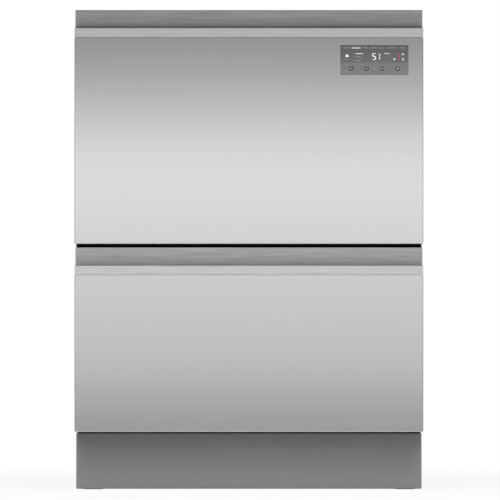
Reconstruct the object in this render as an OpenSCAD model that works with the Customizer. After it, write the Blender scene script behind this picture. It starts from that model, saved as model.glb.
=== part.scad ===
// Double-drawer dishwasher: two independent wash drawers, one above the other, in one cabinet.
// +X is to the right seen from the front, the fronts face -Y, and +Z is up.
// The origin is on the floor, in the middle of the machine's width and depth.

/* [Drawer fronts] */
// Width of both drawer fronts
front_w = 599; // [570:1:630]
// Height of the upper front, from its lower edge to the top of its handle recess
upper_front_h = 402; // [390:1:430]
// Height of the lower front, from its lower edge to the top of its handle recess
lower_front_h = 317; // [305:1:345]
// Open gap between the two fronts
drawer_gap = 6; // [4:0.5:9]
// Height of the space under the lower front, where the kickplate shows
kick_opening_h = 99.5; // [92:0.5:125]
// Depth of a drawer front, from its face to its back
front_t = 25; // [23:0.5:30]
// Thickness of the steel skin on a front
skin_t = 1; // [0.7:0.1:1.5]
// Outer radius of the skin's folded edges
fold_r = 2; // [1.6:0.1:3]
// Width of the hem that the skin turns in at its back
hem_w = 12; // [8:0.5:16]
// Thickness of the liner plate behind the skin
liner_t = 3; // [2.5:0.1:4]
// Seam between the handle lip and the skin below it
seam_h = 0.8; // [0.4:0.1:1.5]

/* [Handles] */
// Height of the recess back that shows above the lip
handle_back_h = 31; // [26:0.5:34]
// Height of the lip that the fingers pull on
handle_lip_h = 16; // [14:0.5:20]
// Thickness of the lip
handle_lip_t = 3; // [2.5:0.25:4]
// Thickness of the recess back, floor and ends
handle_wall_t = 3; // [2:0.25:4]
// How far the finger pocket goes below the lip, behind the skin
handle_pocket_drop = 12; // [8:0.5:16]
// How much the recess is shorter than the front at each end
handle_inset = 1.25; // [1:0.25:4]

/* [Controls] */
// Width of the control window
window_w = 116; // [104:1:130]
// Height of the control window
window_h = 50.5; // [46:0.5:56]
// Thickness of the control window
window_t = 2; // [1.6:0.1:3]
// From the right edge of the front to the window
window_from_right = 26; // [20:1:40]
// From the bottom of the finger pocket down to the window
window_below_pocket = 2; // [1:0.5:10]
// Depth of the control electronics behind the window
module_t = 15; // [10:0.5:17]
// Radius of a push button
button_r = 4.2; // [3:0.1:5]
// How far a push button travels
button_travel = 0.8; // [0.5:0.1:1.2]
// Distance between neighbouring buttons
button_pitch = 26.5; // [20:0.5:28]
// Height of the buttons above the window's lower edge
button_up = 10.5; // [9:0.5:14]

/* [Cabinet] */
// Overall depth, from the face of the fronts to the screw heads at the rear
unit_d = 573; // [560:1:600]
// How much narrower the cabinet is than the fronts, at each side
cabinet_inset = 2.5; // [1:0.25:5]
// Thickness of the cabinet's steel sheets
sheet_t = 1.2; // [0.8:0.1:2]
// Gap between the back of a closed front and the cabinet's front edge
front_gap = 4; // [3:0.5:6]
// Space for a lid above the rim of its tub
lid_zone_h = 44; // [42:1:52]
// How far the rim of the lower tub is below the top of the lower front
lower_rim_drop = 12; // [10:0.5:16]
// Depth of the brace between the drawers
brace_d = 36; // [20:1:60]
// How far the kickplate is set back from the face of the fronts
kick_recess = 50; // [40:1:70]
// How much narrower the kickplate is than the fronts, at each side
kick_inset = 2.25; // [1:0.25:8]
// Depth of the kickplate's folded edges
kick_return = 11; // [6:0.5:12]
// Gap between the kickplate and the floor
kick_floor_gap = 1; // [1:0.5:4]
// Gap between the kickplate and the lower front
kick_top_gap = 2.5; // [1.5:0.5:5]
// Height of the base tray's floor above the floor of the room
base_z = 30; // [26:1:36]
// Height of the service recess at the rear, above the floor of the room
service_z = 110; // [104:1:120]
// Depth of the service recess at the rear
service_d = 34; // [30:1:45]

/* [Services] */
// From the cabinet's left side to the water inlet, and from its right side to the mains gland
service_from_side = 97; // [80:1:140]
// From the water inlet to the drain spigot
service_pitch = 80; // [50:1:100]
// Radius of the water inlet's thread
inlet_thread_r = 13.2; // [10:0.1:13.5]
// Length of the water inlet's thread
inlet_len = 24; // [16:1:28]
// Radius of the drain spigot
drain_spigot_r = 9.5; // [8:0.25:12]
// Length of the drain spigot
drain_len = 26; // [20:1:28]
// Radius of the cable hole in the mains gland
mains_bore_r = 4.5; // [3:0.25:6]

/* [Feet] */
// Radius of a foot pad
foot_r = 19; // [15:0.5:22]
// Height of a foot pad
foot_pad_h = 9; // [6:0.5:12]
// Radius of a foot's threaded stem
foot_stem_r = 5; // [4:0.25:6]
// How far a foot screws down
foot_travel = 60; // [40:1:60]

/* [Slides] */
// Space for a slide between the cabinet side and the tub
slide_t = 13; // [13:0.25:16]
// Height of a slide's cabinet rail
slide_h = 45; // [42:1:50]
// Thickness of the rails' steel
rail_t = 1.5; // [1.2:0.1:1.8]
// Room for the balls between two rails
ball_gap = 2; // [1.6:0.1:2.4]
// Height of the rim above the middle of the slide
slide_below_rim = 70; // [60:1:90]
// How far a drawer opens
drawer_travel = 480; // [440:1:480]

/* [Tubs] */
// Thickness of the tub walls and floor
tub_wall = 3; // [2.5:0.1:4]
// Space between the back of a closed front and its tub
tub_gap = 9.5; // [8.5:0.5:14]
// Space behind a closed tub for its hoses
tub_rear_space = 33; // [24:1:50]
// Radius of the tub's upright corners
tub_corner_r = 34; // [20:1:50]
// Width of the rim flange outside the tub wall
rim_flange = 3; // [2.5:0.1:3.5]
// Depth of the wash motor below the tub
motor_h = 45; // [40:0.5:55]
// Radius of the sump
sump_r = 62; // [54:1:70]
// Depth of the sump below the tub floor
sump_h = 18; // [15:0.5:22]
// Radius of the spindle that carries the spray arm
spindle_r = 6; // [5:0.25:8]

/* [Lids] */
// How far a lid is pulled down to seal its tub
lid_travel = 8; // [5:0.5:9]
// Thickness of a lid
lid_h = 18; // [15:0.5:20]
// Thickness of a lid's skin and ribs
lid_skin = 3; // [2:0.25:4]
// Distance between a lid's ribs
lid_rib_pitch = 70; // [50:1:78]
// Height of the lid seal
seal_h = 10; // [8:0.5:12]
// Width of the lid seal
seal_w = 6; // [5:0.5:8]

/* [Wash parts] */
// Length of the spray arm, tip to tip
spray_arm_len = 420; // [380:1:440]
// Thickness of the spray arm's blades
spray_blade_t = 10; // [8:0.5:12]
// Radius of the pump rotor
rotor_r = 46; // [38:1:50]
// Radius of the drain filter
filter_r = 30; // [24:0.5:34]

/* [Dispensers] */
// Height of the dispenser body
dispenser_h = 66; // [60:0.5:70]
// Width of the dispenser body
dispenser_w = 150; // [138:1:170]
// From the finger pocket of the lower drawer down to its dispenser
dispenser_below_pocket = 3; // [2:0.5:8]
// Width of the detergent cup
cup_w = 62; // [50:1:66]
// Height of the detergent cup
cup_h = 44; // [36:0.5:46]
// Thickness of the sliding cover over the detergent cup
cover_t = 2.5; // [2:0.1:3]

/* [Racks] */
// Thickness of the coated rack wire
wire_t = 3.6; // [3:0.2:4.4]
// Gap between the rack and the tub's side walls
rack_side_gap = 12; // [8:1:20]
// Gap between the rack and the tub's front wall
rack_front_gap = 22; // [18:1:30]
// Gap between the rack and the tub's rear wall
rack_rear_gap = 32; // [30:1:50]
// Height of the rack floor above the tub floor
rack_up = 42; // [40:0.5:50]
// Height of the rack walls above the rack floor
rack_wall_h = 84; // [70:1:90]
// Height of a plate tine above the rack floor
tine_h = 74; // [60:1:78]
// Distance between plate tines
tine_pitch = 38; // [32:1:40]
// Distance between the two rows of tines
tine_row_gap = 76; // [60:1:90]
// Width of a cup rack, from hinge to free edge
cup_rack_w = 106; // [90:1:112]
// Length of a cup rack
cup_rack_len = 350; // [280:1:360]
// Width of the cutlery basket
basket_w = 86; // [70:1:100]
// Length of the cutlery basket
basket_d = 246; // [200:1:280]
// Height of the cutlery basket
basket_h = 104; // [90:1:110]
// Height of the finger gap under the basket's bar
basket_grip_h = 24; // [20:1:28]

/* [Hidden] */
$fn = 48;

LOWER = 0;
UPPER = 1;
LEFT = -1;
RIGHT = 1;
SIDES = [LEFT, RIGHT];

// Clearances
running_fit = 0.05;  // round a pin in its bore
slip = 0.3;          // between faces that slide past each other
running_gap = 4;     // under a moving drawer
over = 1;            // how far a cut goes past the face that it opens

// Heights of the fronts
lower_front_z = kick_opening_h;
lower_top_z = lower_front_z + lower_front_h;
upper_front_z = lower_top_z + drawer_gap;
top_z = upper_front_z + upper_front_h;
function front_z(k) = k == UPPER ? upper_front_z : lower_front_z;
function front_top(k) = k == UPPER ? top_z : lower_top_z;
function lip_bottom(k) = front_top(k) - handle_back_h - handle_lip_h;
function pocket_bottom(k) = lip_bottom(k) - handle_pocket_drop;

// Depths, from the face of the fronts backwards
screw_head_h = 2;
front_y = -unit_d / 2;
front_back_y = front_y + front_t;
liner_y = front_back_y - liner_t;
cabinet_y = front_back_y + front_gap;
rear_y = unit_d / 2 - screw_head_h;
tub_y = front_back_y + tub_gap;
tub_rear_y = rear_y - sheet_t - tub_rear_space;
tub_d = tub_rear_y - tub_y;
tub_mid_y = (tub_y + tub_rear_y) / 2;

// Widths
front_hw = front_w / 2;
cabinet_hw = front_hw - cabinet_inset;
side_in = cabinet_hw - sheet_t;
tub_hw = side_in - slide_t;
kick_hw = front_hw - kick_inset;

// Rims, lids and the space left for a tub with its motor
function rim_z(k) = k == UPPER ? top_z - sheet_t - lid_zone_h : lower_top_z - lower_rim_drop;
skirt_up = 4;
brace_top_z = rim_z(LOWER) + lid_zone_h + skirt_up;
kick_top_z = kick_opening_h - kick_top_gap;
lower_space = rim_z(LOWER) - kick_top_z - running_gap;
upper_space = rim_z(UPPER) - brace_top_z - running_gap;
tub_h = min(lower_space, upper_space) - motor_h;
function tub_under(k) = rim_z(k) - tub_h;
function tub_floor(k) = tub_under(k) + tub_wall;
function seal_z(k) = rim_z(k) + lid_travel + slip;
function lid_z(k) = seal_z(k) + seal_h;

// Points of a quarter turn, round the centre x, y
corner_steps = 6;
function corner(x, y, r, from) =
    [for (i = [0 : corner_steps]) [x + r * cos(from + 90 * i / corner_steps),
                                   y + r * sin(from + 90 * i / corner_steps)]];

// Outline of a rectangle with rounded corners, centred on the origin
function round_rect(w, d, r) = concat(
    corner(w / 2 - r, d / 2 - r, r, 0), corner(r - w / 2, d / 2 - r, r, 90),
    corner(r - w / 2, r - d / 2, r, 180), corner(w / 2 - r, r - d / 2, r, 270));

// The place of copy i of count, spread evenly from -half to half
function spread(i, count, half) = -half + 2 * half * i / (count - 1);
function spread_all(count, half) = [for (i = [0 : count - 1]) spread(i, count, half)];

// A block with rounded upright corners, centred in X and Y
module round_block(w, d, h, r) {
    linear_extrude(h) polygon(round_rect(w, d, r));
}

// A box given by its lowest and highest corners
module box(low, high) {
    translate(low) cube(high - low);
}

module rod_x(x, y, z, len, r) {
    translate([x - len / 2, y, z]) rotate([0, 90, 0]) cylinder(r = r, h = len);
}

module rod_y(x, y, z, len, r) {
    translate([x, y - len / 2, z]) rotate([-90, 0, 0]) cylinder(r = r, h = len);
}

module rod_z(x, y, z, len, r) {
    translate([x, y, z]) cylinder(r = r, h = len);
}

// A profile of [y, z] points made a bar of length len along X, centred on X
module bar_x(len, points) {
    translate([-len / 2, 0, 0]) rotate([90, 0, 90]) linear_extrude(len) polygon(points);
}

module mirror_x(side) {
    mirror([side == LEFT ? 1 : 0, 0, 0]) children();
}

// ---- Cabinet ----

screw_r = 2;
screw_head_r = 4;
screw_len = 8;

// The kickplate's sockets push onto pegs at the front of the base tray
kick_y = front_y + kick_recess;
kick_socket_len = 10;
kick_peg_r = 3;
kick_peg_len = 8;
kick_peg_x = kick_hw - 60;
tray_y = kick_y + sheet_t + kick_socket_len + 2;
kick_peg_z = base_z + 30;
tray_front_wall_h = 45;

// The side sheets stop behind the lower edge of the lower front, and lap over the tray
side_low_z = kick_opening_h + 2;
side_lap = 20;
tray_rear_y = rear_y - sheet_t - service_d;

foot_x = side_in - foot_r - 8;
foot_front_y = tray_y + foot_r;
foot_rear_y = tray_rear_y - foot_r - 8;
foot_boss_r = foot_stem_r + 4;
foot_boss_h = 26;
foot_top_z = base_z + foot_boss_h + foot_travel + 3;

// Where the services come out, on the rear wall of the tray
inlet_x = service_from_side - cabinet_hw;
drain_x = inlet_x + service_pitch;
mains_x = cabinet_hw - service_from_side;
service_mid_z = (base_z + service_z) / 2;
service_neck = 1.5;
inlet_body_r = inlet_thread_r + 3;
mains_gland_r = mains_bore_r + 7.5;
mains_len = 16;

// Fixing holes for the side brackets and for the screws into the worktop
side_fixing_r = 2.5;
side_fixing_y = cabinet_y + 8;
side_fixing_drop = 170;
side_fixing_z = [rim_z(LOWER) - side_fixing_drop, rim_z(UPPER) - side_fixing_drop];
top_fixing_r = 2.25;
top_fixing_pitch = 24;
top_fixing_from_side = 97;
top_fixing_x = cabinet_hw - top_fixing_from_side;
top_fixing_y = cabinet_y + 13;

// Pan with side walls up to the side sheets, bosses for the feet and pegs for the kickplate
module base_tray() {
    color("gainsboro") difference() {
        union() {
            box([-side_in, tray_y, base_z], [side_in, tray_rear_y, base_z + sheet_t]);
            box([-side_in, tray_y, base_z], [side_in, tray_y + sheet_t, base_z + tray_front_wall_h]);
            box([-side_in, tray_rear_y - sheet_t, base_z], [side_in, tray_rear_y, service_z]);
            for (side = SIDES) {
                mirror_x(side)
                    box([side_in - sheet_t, tray_y, base_z], [side_in, tray_rear_y, side_low_z + side_lap]);
                for (y = [foot_front_y, foot_rear_y])
                    rod_z(side * foot_x, y, base_z, foot_boss_h, foot_boss_r);
                rod_y(side * kick_peg_x, tray_y + (sheet_t - kick_peg_len) / 2, kick_peg_z,
                    kick_peg_len + sheet_t, kick_peg_r);
            }
        }
        for (side = SIDES, y = [foot_front_y, foot_rear_y])
            rod_z(side * foot_x, y, base_z - over, foot_boss_h + 2 * over, foot_stem_r + running_fit);
        for (hole = [[inlet_x, inlet_thread_r], [drain_x, drain_spigot_r], [mains_x, mains_gland_r]])
            rod_y(hole.x, tray_rear_y, service_mid_z, 10, hole.y - service_neck + slip);
    }
}

// Side sheet, with its fixing holes at the front
module side_panel(side) {
    color("silver") mirror_x(side) difference() {
        box([side_in, cabinet_y, side_low_z], [cabinet_hw, rear_y - sheet_t, top_z - sheet_t]);
        for (z = side_fixing_z)
            rod_x(side_in, side_fixing_y, z, 10, side_fixing_r);
    }
}

rear_lap = 14;
rear_screw_x = side_in - rear_lap / 2;
rear_screw_z = [for (i = [0 : 3]) service_z + 30 + i * (top_z - service_z - 60) / 3];

// Rear sheet. It turns in over the service recess, and has strips inside that take its screws.
module rear_panel() {
    color("silver") difference() {
        union() {
            box([-cabinet_hw, rear_y - sheet_t, service_z], [cabinet_hw, rear_y, top_z - sheet_t]);
            box([-side_in, tray_rear_y, service_z], [side_in, rear_y, service_z + sheet_t]);
            for (side = SIDES)
                mirror_x(side) box([side_in - rear_lap, rear_y - 3 * sheet_t, service_z],
                    [side_in, rear_y, top_z - sheet_t]);
        }
        for (side = SIDES, z = rear_screw_z)
            rod_y(side * rear_screw_x, rear_y, z, 12, screw_r + running_fit);
    }
}

// The top sheet turns down at the front, in front of the upper lid
module top_panel() {
    color("silver") difference() {
        union() {
            box([-cabinet_hw, cabinet_y, top_z - sheet_t], [cabinet_hw, rear_y, top_z]);
            box([-side_in, cabinet_y, rim_z(UPPER) + skirt_up], [side_in, cabinet_y + sheet_t, top_z]);
        }
        for (side = SIDES, i = [-0.5, 0.5])
            rod_z(side * top_fixing_x + i * top_fixing_pitch, top_fixing_y, top_z - 10, 20, top_fixing_r);
    }
}

// Angle rail across the cabinet between the drawers, in front of and above the lower lid
module cross_brace() {
    color([0.06, 0.06, 0.06]) union() {
        box([-side_in, cabinet_y, rim_z(LOWER) + skirt_up], [side_in, cabinet_y + sheet_t, brace_top_z]);
        box([-side_in, cabinet_y, brace_top_z - sheet_t], [side_in, cabinet_y + brace_d, brace_top_z]);
    }
}

// A shallow pan, open to the rear, with a socket for each peg of the tray
module kickplate() {
    color("dimgray") difference() {
        union() {
            difference() {
                box([-kick_hw, kick_y, kick_floor_gap], [kick_hw, kick_y + kick_return, kick_top_z]);
                box([sheet_t - kick_hw, kick_y + sheet_t, kick_floor_gap + sheet_t],
                    [kick_hw - sheet_t, kick_y + kick_return + over, kick_top_z - sheet_t]);
            }
            for (side = SIDES)
                rod_y(side * kick_peg_x, kick_y + (sheet_t + kick_socket_len) / 2, kick_peg_z,
                    kick_socket_len + sheet_t, kick_peg_r + 4);
        }
        for (side = SIDES)
            rod_y(side * kick_peg_x, kick_y + sheet_t + kick_socket_len, kick_peg_z,
                2 * (kick_socket_len - 1), kick_peg_r + running_fit);
    }
}

gasket_w = 3.5;

// Rubber strips on the cabinet's front edges
module front_gasket() {
    color([0.05, 0.05, 0.05])
        for (side = SIDES)
            mirror_x(side) box([cabinet_hw - gasket_w, front_back_y + slip, side_low_z],
                [cabinet_hw, cabinet_y, top_z - sheet_t]);
}

// Screws that hold the rear sheet
module chassis_screws() {
    color("gray")
        for (side = SIDES, z = rear_screw_z)
            translate([side * rear_screw_x, rear_y, z]) rotate([-90, 0, 0]) {
                cylinder(r = screw_head_r, h = screw_head_h);
                translate([0, 0, -screw_len]) cylinder(r = screw_r, h = screw_len);
            }
}

module foot(side, y) {
    color("dimgray") union() {
        rod_z(side * foot_x, y, 0, foot_pad_h, foot_r);
        rod_z(side * foot_x, y, 0, foot_pad_h + 6, foot_stem_r + 4);
        rod_z(side * foot_x, y, 0, foot_top_z, foot_stem_r);
    }
}

// Threaded inlet with its solenoid, held by a neck through the rear wall of the tray
module water_inlet_valve() {
    inside_y = tray_rear_y - sheet_t;
    color("white") union() {
        rod_y(inlet_x, tray_rear_y + inlet_len / 2, service_mid_z, inlet_len, inlet_thread_r);
        rod_y(inlet_x, tray_rear_y, service_mid_z, 2 * sheet_t + 2, inlet_thread_r - service_neck);
        rod_y(inlet_x, inside_y - 7, service_mid_z, 14, inlet_body_r);
        translate([inlet_x, inside_y - 28, service_mid_z]) cube([28, 32, 28], center = true);
    }
}

module drain_union() {
    color("dimgray") difference() {
        union() {
            rod_y(drain_x, tray_rear_y + drain_len / 2, service_mid_z, drain_len, drain_spigot_r);
            rod_y(drain_x, tray_rear_y, service_mid_z, 2 * sheet_t + 2, drain_spigot_r - service_neck);
            rod_y(drain_x, tray_rear_y - sheet_t - 5, service_mid_z, 10, drain_spigot_r + 4);
        }
        rod_y(drain_x, tray_rear_y, service_mid_z, 2 * drain_len + 20, drain_spigot_r - 3);
    }
}

module mains_gland() {
    inner_len = sheet_t + 8;
    color([0.1, 0.1, 0.1]) difference() {
        union() {
            rod_y(mains_x, tray_rear_y + mains_len / 2, service_mid_z, mains_len, mains_gland_r);
            rod_y(mains_x, tray_rear_y - inner_len / 2, service_mid_z, inner_len + 2,
                mains_gland_r - service_neck);
        }
        rod_y(mains_x, tray_rear_y, service_mid_z, 2 * mains_len + 20, mains_bore_r);
    }
}

// ---- Slides ----

slide_len = tub_d - 10;
slide_y = tub_y + 2;
tub_side_gap = 1.2;
cabinet_rail_depth = slide_t - 0.4;
middle_half_h = slide_h / 2 - rail_t - ball_gap;
middle_x = side_in - rail_t - ball_gap;
middle_depth = middle_x - tub_hw - tub_side_gap;
inner_half_h = middle_half_h - rail_t - ball_gap;
inner_depth = middle_x - rail_t - ball_gap - tub_hw;
cage_len = 150;
cage_slip = 0.15;
cage_grip = 0.2;

// One rail of C section, from x_low to x_high. Its web is on the side of web_x.
module c_rail(x_low, x_high, half_h, web_x) {
    cut_low = web_x == x_low ? x_low + rail_t : x_low - over;
    cut_high = web_x == x_low ? x_high + over : x_high - rail_t;
    difference() {
        box([x_low, slide_y, -half_h], [x_high, slide_y + slide_len, half_h]);
        box([cut_low, slide_y - over, rail_t - half_h],
            [cut_high, slide_y + slide_len + over, half_h - rail_t]);
    }
}

// Both slides of drawer k, where the children are the slide on the right
module slides(k) {
    for (side = SIDES)
        mirror_x(side) translate([0, 0, rim_z(k) - slide_below_rim]) children();
}

module cabinet_rails() {
    color("lightgray")
        for (k = [LOWER, UPPER])
            slides(k) c_rail(side_in - cabinet_rail_depth, side_in, slide_h / 2, side_in);
}

// The middle rails carry the ball cages, which run on the rails outside and inside them
module middle_rails(k) {
    cage_y = [slide_y + 20, slide_y + slide_len - 20 - cage_len];
    outer_low = middle_half_h - cage_grip;
    outer_high = middle_half_h + ball_gap - cage_slip;
    inner_low = inner_half_h + cage_slip;
    inner_high = inner_half_h + ball_gap + cage_grip;
    x = middle_x - middle_depth + 0.5;
    color("silver") slides(k) union() {
        c_rail(middle_x - middle_depth, middle_x, middle_half_h, middle_x);
        for (y = cage_y, up = [0, 1])
            mirror([0, 0, up]) {
                box([x, y, outer_low], [x + 4, y + cage_len, outer_high]);
                box([x, y, inner_low], [x + 4, y + cage_len, inner_high]);
            }
    }
}

module drawer_rails(k) {
    color("lightgray") slides(k) c_rail(tub_hw, tub_hw + inner_depth, inner_half_h, tub_hw);
}

// ---- Drawer fronts ----

// A block from y0 back to y1, whose front edges are rounded at the sides and at the bottom
module folded_block(hw, low, high, y0, y1, r) {
    intersection() {
        translate([0, 0, low]) linear_extrude(high - low) polygon(concat(
            corner(r - hw, y0 + r, r, 180), corner(hw - r, y0 + r, r, 270), [[hw, y1], [-hw, y1]]));
        bar_x(2 * hw, concat(corner(y0 + r, low + r, r, 180), [[y1, low], [y1, high], [y0, high]]));
    }
}

// Skin: a pan folded from one sheet, with a hem at the back, open under the handle lip
module front_skin(k) {
    low = front_z(k);
    high = lip_bottom(k) - seam_h;
    color("lightgray") difference() {
        folded_block(front_hw, low, high, front_y, liner_y, fold_r);
        folded_block(front_hw - skin_t, low + skin_t, high + over, front_y + skin_t, liner_y - skin_t,
            fold_r - skin_t);
        box([hem_w - front_hw, liner_y - skin_t - over, low + hem_w],
            [front_hw - hem_w, liner_y + over, high + over]);
        box([skin_t - front_hw, front_y + fold_r, pocket_bottom(k)],
            [front_hw - skin_t, liner_y + over, high + over]);
        if (k == UPPER) window_hole();
    }
}

window_x = front_hw - window_from_right - window_w / 2;
window_z = pocket_bottom(UPPER) - window_below_pocket - window_h / 2;

module window_hole() {
    hw = window_w / 2 + slip;
    hh = window_h / 2 + slip;
    translate([window_x, front_y, window_z]) box([-hw, -over, -hh], [hw, skin_t + over, hh]);
}

// Handle: lip, finger pocket and recess back in one length, with closed ends
module handle(k) {
    top = front_top(k);
    lip_low = lip_bottom(k);
    lip_top = lip_low + handle_lip_h;
    pocket_z = pocket_bottom(k);
    pocket_y = front_y + handle_lip_t;
    back_y = front_back_y - handle_wall_t;
    recess_hw = front_hw - handle_inset;
    color("silver") union() {
        bar_x(2 * recess_hw, [
            [front_y, lip_top], [front_y, lip_low], [front_y + skin_t, lip_low],
            [front_y + skin_t, pocket_z], [front_back_y, pocket_z], [front_back_y, top], [back_y, top],
            [back_y, pocket_z + handle_wall_t], [pocket_y, pocket_z + handle_wall_t], [pocket_y, lip_top]]);
        box([-front_hw, front_y, lip_low], [front_hw, pocket_y, lip_top]);
        for (side = SIDES)
            mirror_x(side) box([recess_hw - handle_wall_t, pocket_y - over, pocket_z + over],
                [recess_hw, back_y + over, lip_top]);
    }
}

neck_hw = tub_hw - 28;
liner_margin = 0.5;

// Liner that closes the back of a front, with the thick neck that its tub is fixed to
module front_liner(k) {
    hw = front_hw - liner_margin;
    low = front_z(k) + liner_margin;
    neck_low = tub_under(k) + tub_corner_r;
    neck_high = min(rim_z(k) - 5, dispenser_mid_z(k) + dispenser_h / 2 + 25);
    cut_hw = dispenser_w / 2 + slip;
    cut_hh = dispenser_h / 2 + slip;
    color("darkgray") difference() {
        union() {
            box([-hw, liner_y, low], [hw, front_back_y, pocket_bottom(k)]);
            box([-neck_hw, front_back_y, neck_low], [neck_hw, tub_y, neck_high]);
        }
        translate([0, 0, dispenser_mid_z(k)])
            box([-cut_hw, liner_y - over, -cut_hh], [cut_hw, tub_y + over, cut_hh]);
    }
}

// ---- Controls ----

function button_x(i) = window_x + (i - 1.5) * button_pitch;
button_z = window_z - window_h / 2 + button_up;
button_sink = 0.1;
flange_extra = 1;
flange_t = 1.2;

module control_window() {
    color([0.25, 0.25, 0.26]) difference() {
        box([window_x - window_w / 2, front_y, window_z - window_h / 2],
            [window_x + window_w / 2, front_y + window_t, window_z + window_h / 2]);
        for (i = [0 : 3])
            rod_y(button_x(i), front_y, button_z, 10, button_r + slip);
    }
}

// Case of the electronics behind the window, with a well behind each button
module control_module() {
    hw = window_w / 2 + 3;
    low = window_z - window_h / 2 - 3;
    well_depth = flange_t + button_travel + 4;
    color([0.12, 0.12, 0.12]) difference() {
        box([window_x - hw, front_y + window_t, low], [window_x + hw, front_y + window_t + module_t,
            pocket_bottom(UPPER)]);
        for (i = [0 : 3])
            rod_y(button_x(i), front_y + window_t, button_z, 2 * well_depth, button_r + flange_extra + slip);
    }
}

// A round cap in the window's face, with a flange behind the window that keeps it in
module button(i) {
    back_y = front_y + window_t + running_fit + flange_t;
    color([0.2, 0.2, 0.2]) translate([button_x(i), 0, button_z]) rotate([-90, 0, 0]) {
        union() {
            translate([0, 0, front_y + button_sink])
                cylinder(r = button_r, h = back_y - front_y - button_sink);
            translate([0, 0, back_y - flange_t]) cylinder(r = button_r + flange_extra, h = flange_t);
        }
    }
}

// ---- Tubs and lids ----

tub_w = 2 * tub_hw;
rim_t = 4;
function sump_floor(k) = tub_under(k) - sump_h + tub_wall;
function arm_z(k) = tub_floor(k) + 15;

// Open tub with a rim flange, a sump, and the spindle that the spray arm turns on
module tub(k) {
    under = tub_under(k);
    sump_under = under - sump_h;
    color([0.72, 0.74, 0.76]) difference() {
        union() {
            translate([0, tub_mid_y, under]) round_block(tub_w, tub_d, tub_h, tub_corner_r);
            translate([0, tub_mid_y, rim_z(k) - rim_t])
                round_block(tub_w + 2 * rim_flange, tub_d + 2 * rim_flange, rim_t, tub_corner_r + rim_flange);
            rod_z(0, tub_mid_y, sump_under, sump_h + over, sump_r + tub_wall);
        }
        difference() {
            union() {
                translate([0, tub_mid_y, under + tub_wall])
                    round_block(tub_w - 2 * tub_wall, tub_d - 2 * tub_wall, tub_h, tub_corner_r - tub_wall);
                rod_z(0, tub_mid_y, sump_floor(k), sump_h + over, sump_r);
            }
            rod_z(0, tub_mid_y, sump_under, arm_z(k) + spray_blade_t - sump_under, spindle_r);
        }
        translate([0, tub_y, dispenser_mid_z(k)])
            box([-dispenser_w / 2 - slip, -over, -dispenser_h / 2 - slip],
                [dispenser_w / 2 + slip, tub_wall + over, dispenser_h / 2 + slip]);
    }
}

lid_hw = tub_hw + rim_flange - slip;
lid_hd = tub_d / 2 + rim_flange - slip;
lid_corner_r = tub_corner_r + rim_flange;
lug_r = 4;
lug_len = 7;
lug_from_mid = 150;
lug_y = [tub_mid_y - lug_from_mid, tub_mid_y + lug_from_mid];
actuator_gap = 1.5;
actuator_half_d = 26;

// Shallow pan with a grid of ribs on top, and lugs at its sides that the actuators pull
module lid(k) {
    rib_n = floor((lid_hw - 20) / lid_rib_pitch);
    rib_m = floor((lid_hd - 20) / lid_rib_pitch);
    color([0.78, 0.79, 0.8]) translate([0, tub_mid_y, lid_z(k)]) union() {
        difference() {
            round_block(2 * lid_hw, 2 * lid_hd, lid_h, lid_corner_r);
            translate([0, 0, lid_skin])
                round_block(2 * (lid_hw - lid_skin), 2 * (lid_hd - lid_skin), lid_h, lid_corner_r - lid_skin);
        }
        for (i = [-rib_n : rib_n])
            translate([i * lid_rib_pitch, 0, lid_h / 2])
                cube([lid_skin, 2 * lid_hd - lid_skin, lid_h - 4], center = true);
        for (i = [-rib_m : rib_m])
            translate([0, i * lid_rib_pitch, lid_h / 2])
                cube([2 * lid_hw - lid_skin, lid_skin, lid_h - 4], center = true);
        for (side = SIDES, y = lug_y)
            rod_x(side * (lid_hw + (lug_len - lid_skin) / 2), y - tub_mid_y, lid_h / 2,
                lug_len + lid_skin, lug_r);
    }
}

module lid_seal(k) {
    color([0.3, 0.3, 0.31]) translate([0, tub_mid_y, seal_z(k)]) difference() {
        round_block(2 * lid_hw, 2 * lid_hd, seal_h, lid_corner_r);
        translate([0, 0, -over])
            round_block(2 * (lid_hw - seal_w), 2 * (lid_hd - seal_w), seal_h + 2 * over,
                lid_corner_r - seal_w);
    }
}

// Motor boxes on the cabinet sides, each with the slot that a lid lug moves in
module lid_actuators() {
    color([0.15, 0.15, 0.16])
        for (side = SIDES, k = [LOWER, UPPER], y = lug_y)
            mirror_x(side) translate([0, y, lid_z(k) + lid_h / 2]) difference() {
                box([lid_hw + actuator_gap, -actuator_half_d, -lid_travel - lug_r - 5],
                    [side_in, actuator_half_d, lug_r + 6]);
                box([lid_hw, -lug_r - slip, -lid_travel - lug_r - slip],
                    [lid_hw + lug_len + slip, lug_r + slip, lug_r + slip]);
            }
}

// ---- Wash parts ----

motor_lug = 32;

// Motor case under the tub, round the sump
module wash_motor(k) {
    top = tub_under(k);
    in_r = sump_r + tub_wall + slip;
    color([0.2, 0.2, 0.22]) difference() {
        union() {
            rod_z(0, tub_mid_y, top - motor_h, motor_h, in_r + 14);
            for (a = [45 : 90 : 315])
                translate([0, tub_mid_y, top - 12]) rotate([0, 0, a])
                    box([in_r + 8, -9, 0], [in_r + motor_lug, 9, 12]);
        }
        rod_z(0, tub_mid_y, top - sump_h, sump_h + over, in_r);
    }
}

rotor_disc_t = 3;
rotor_blade_h = 6;
rotor_hub_r = spindle_r + 3;

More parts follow.
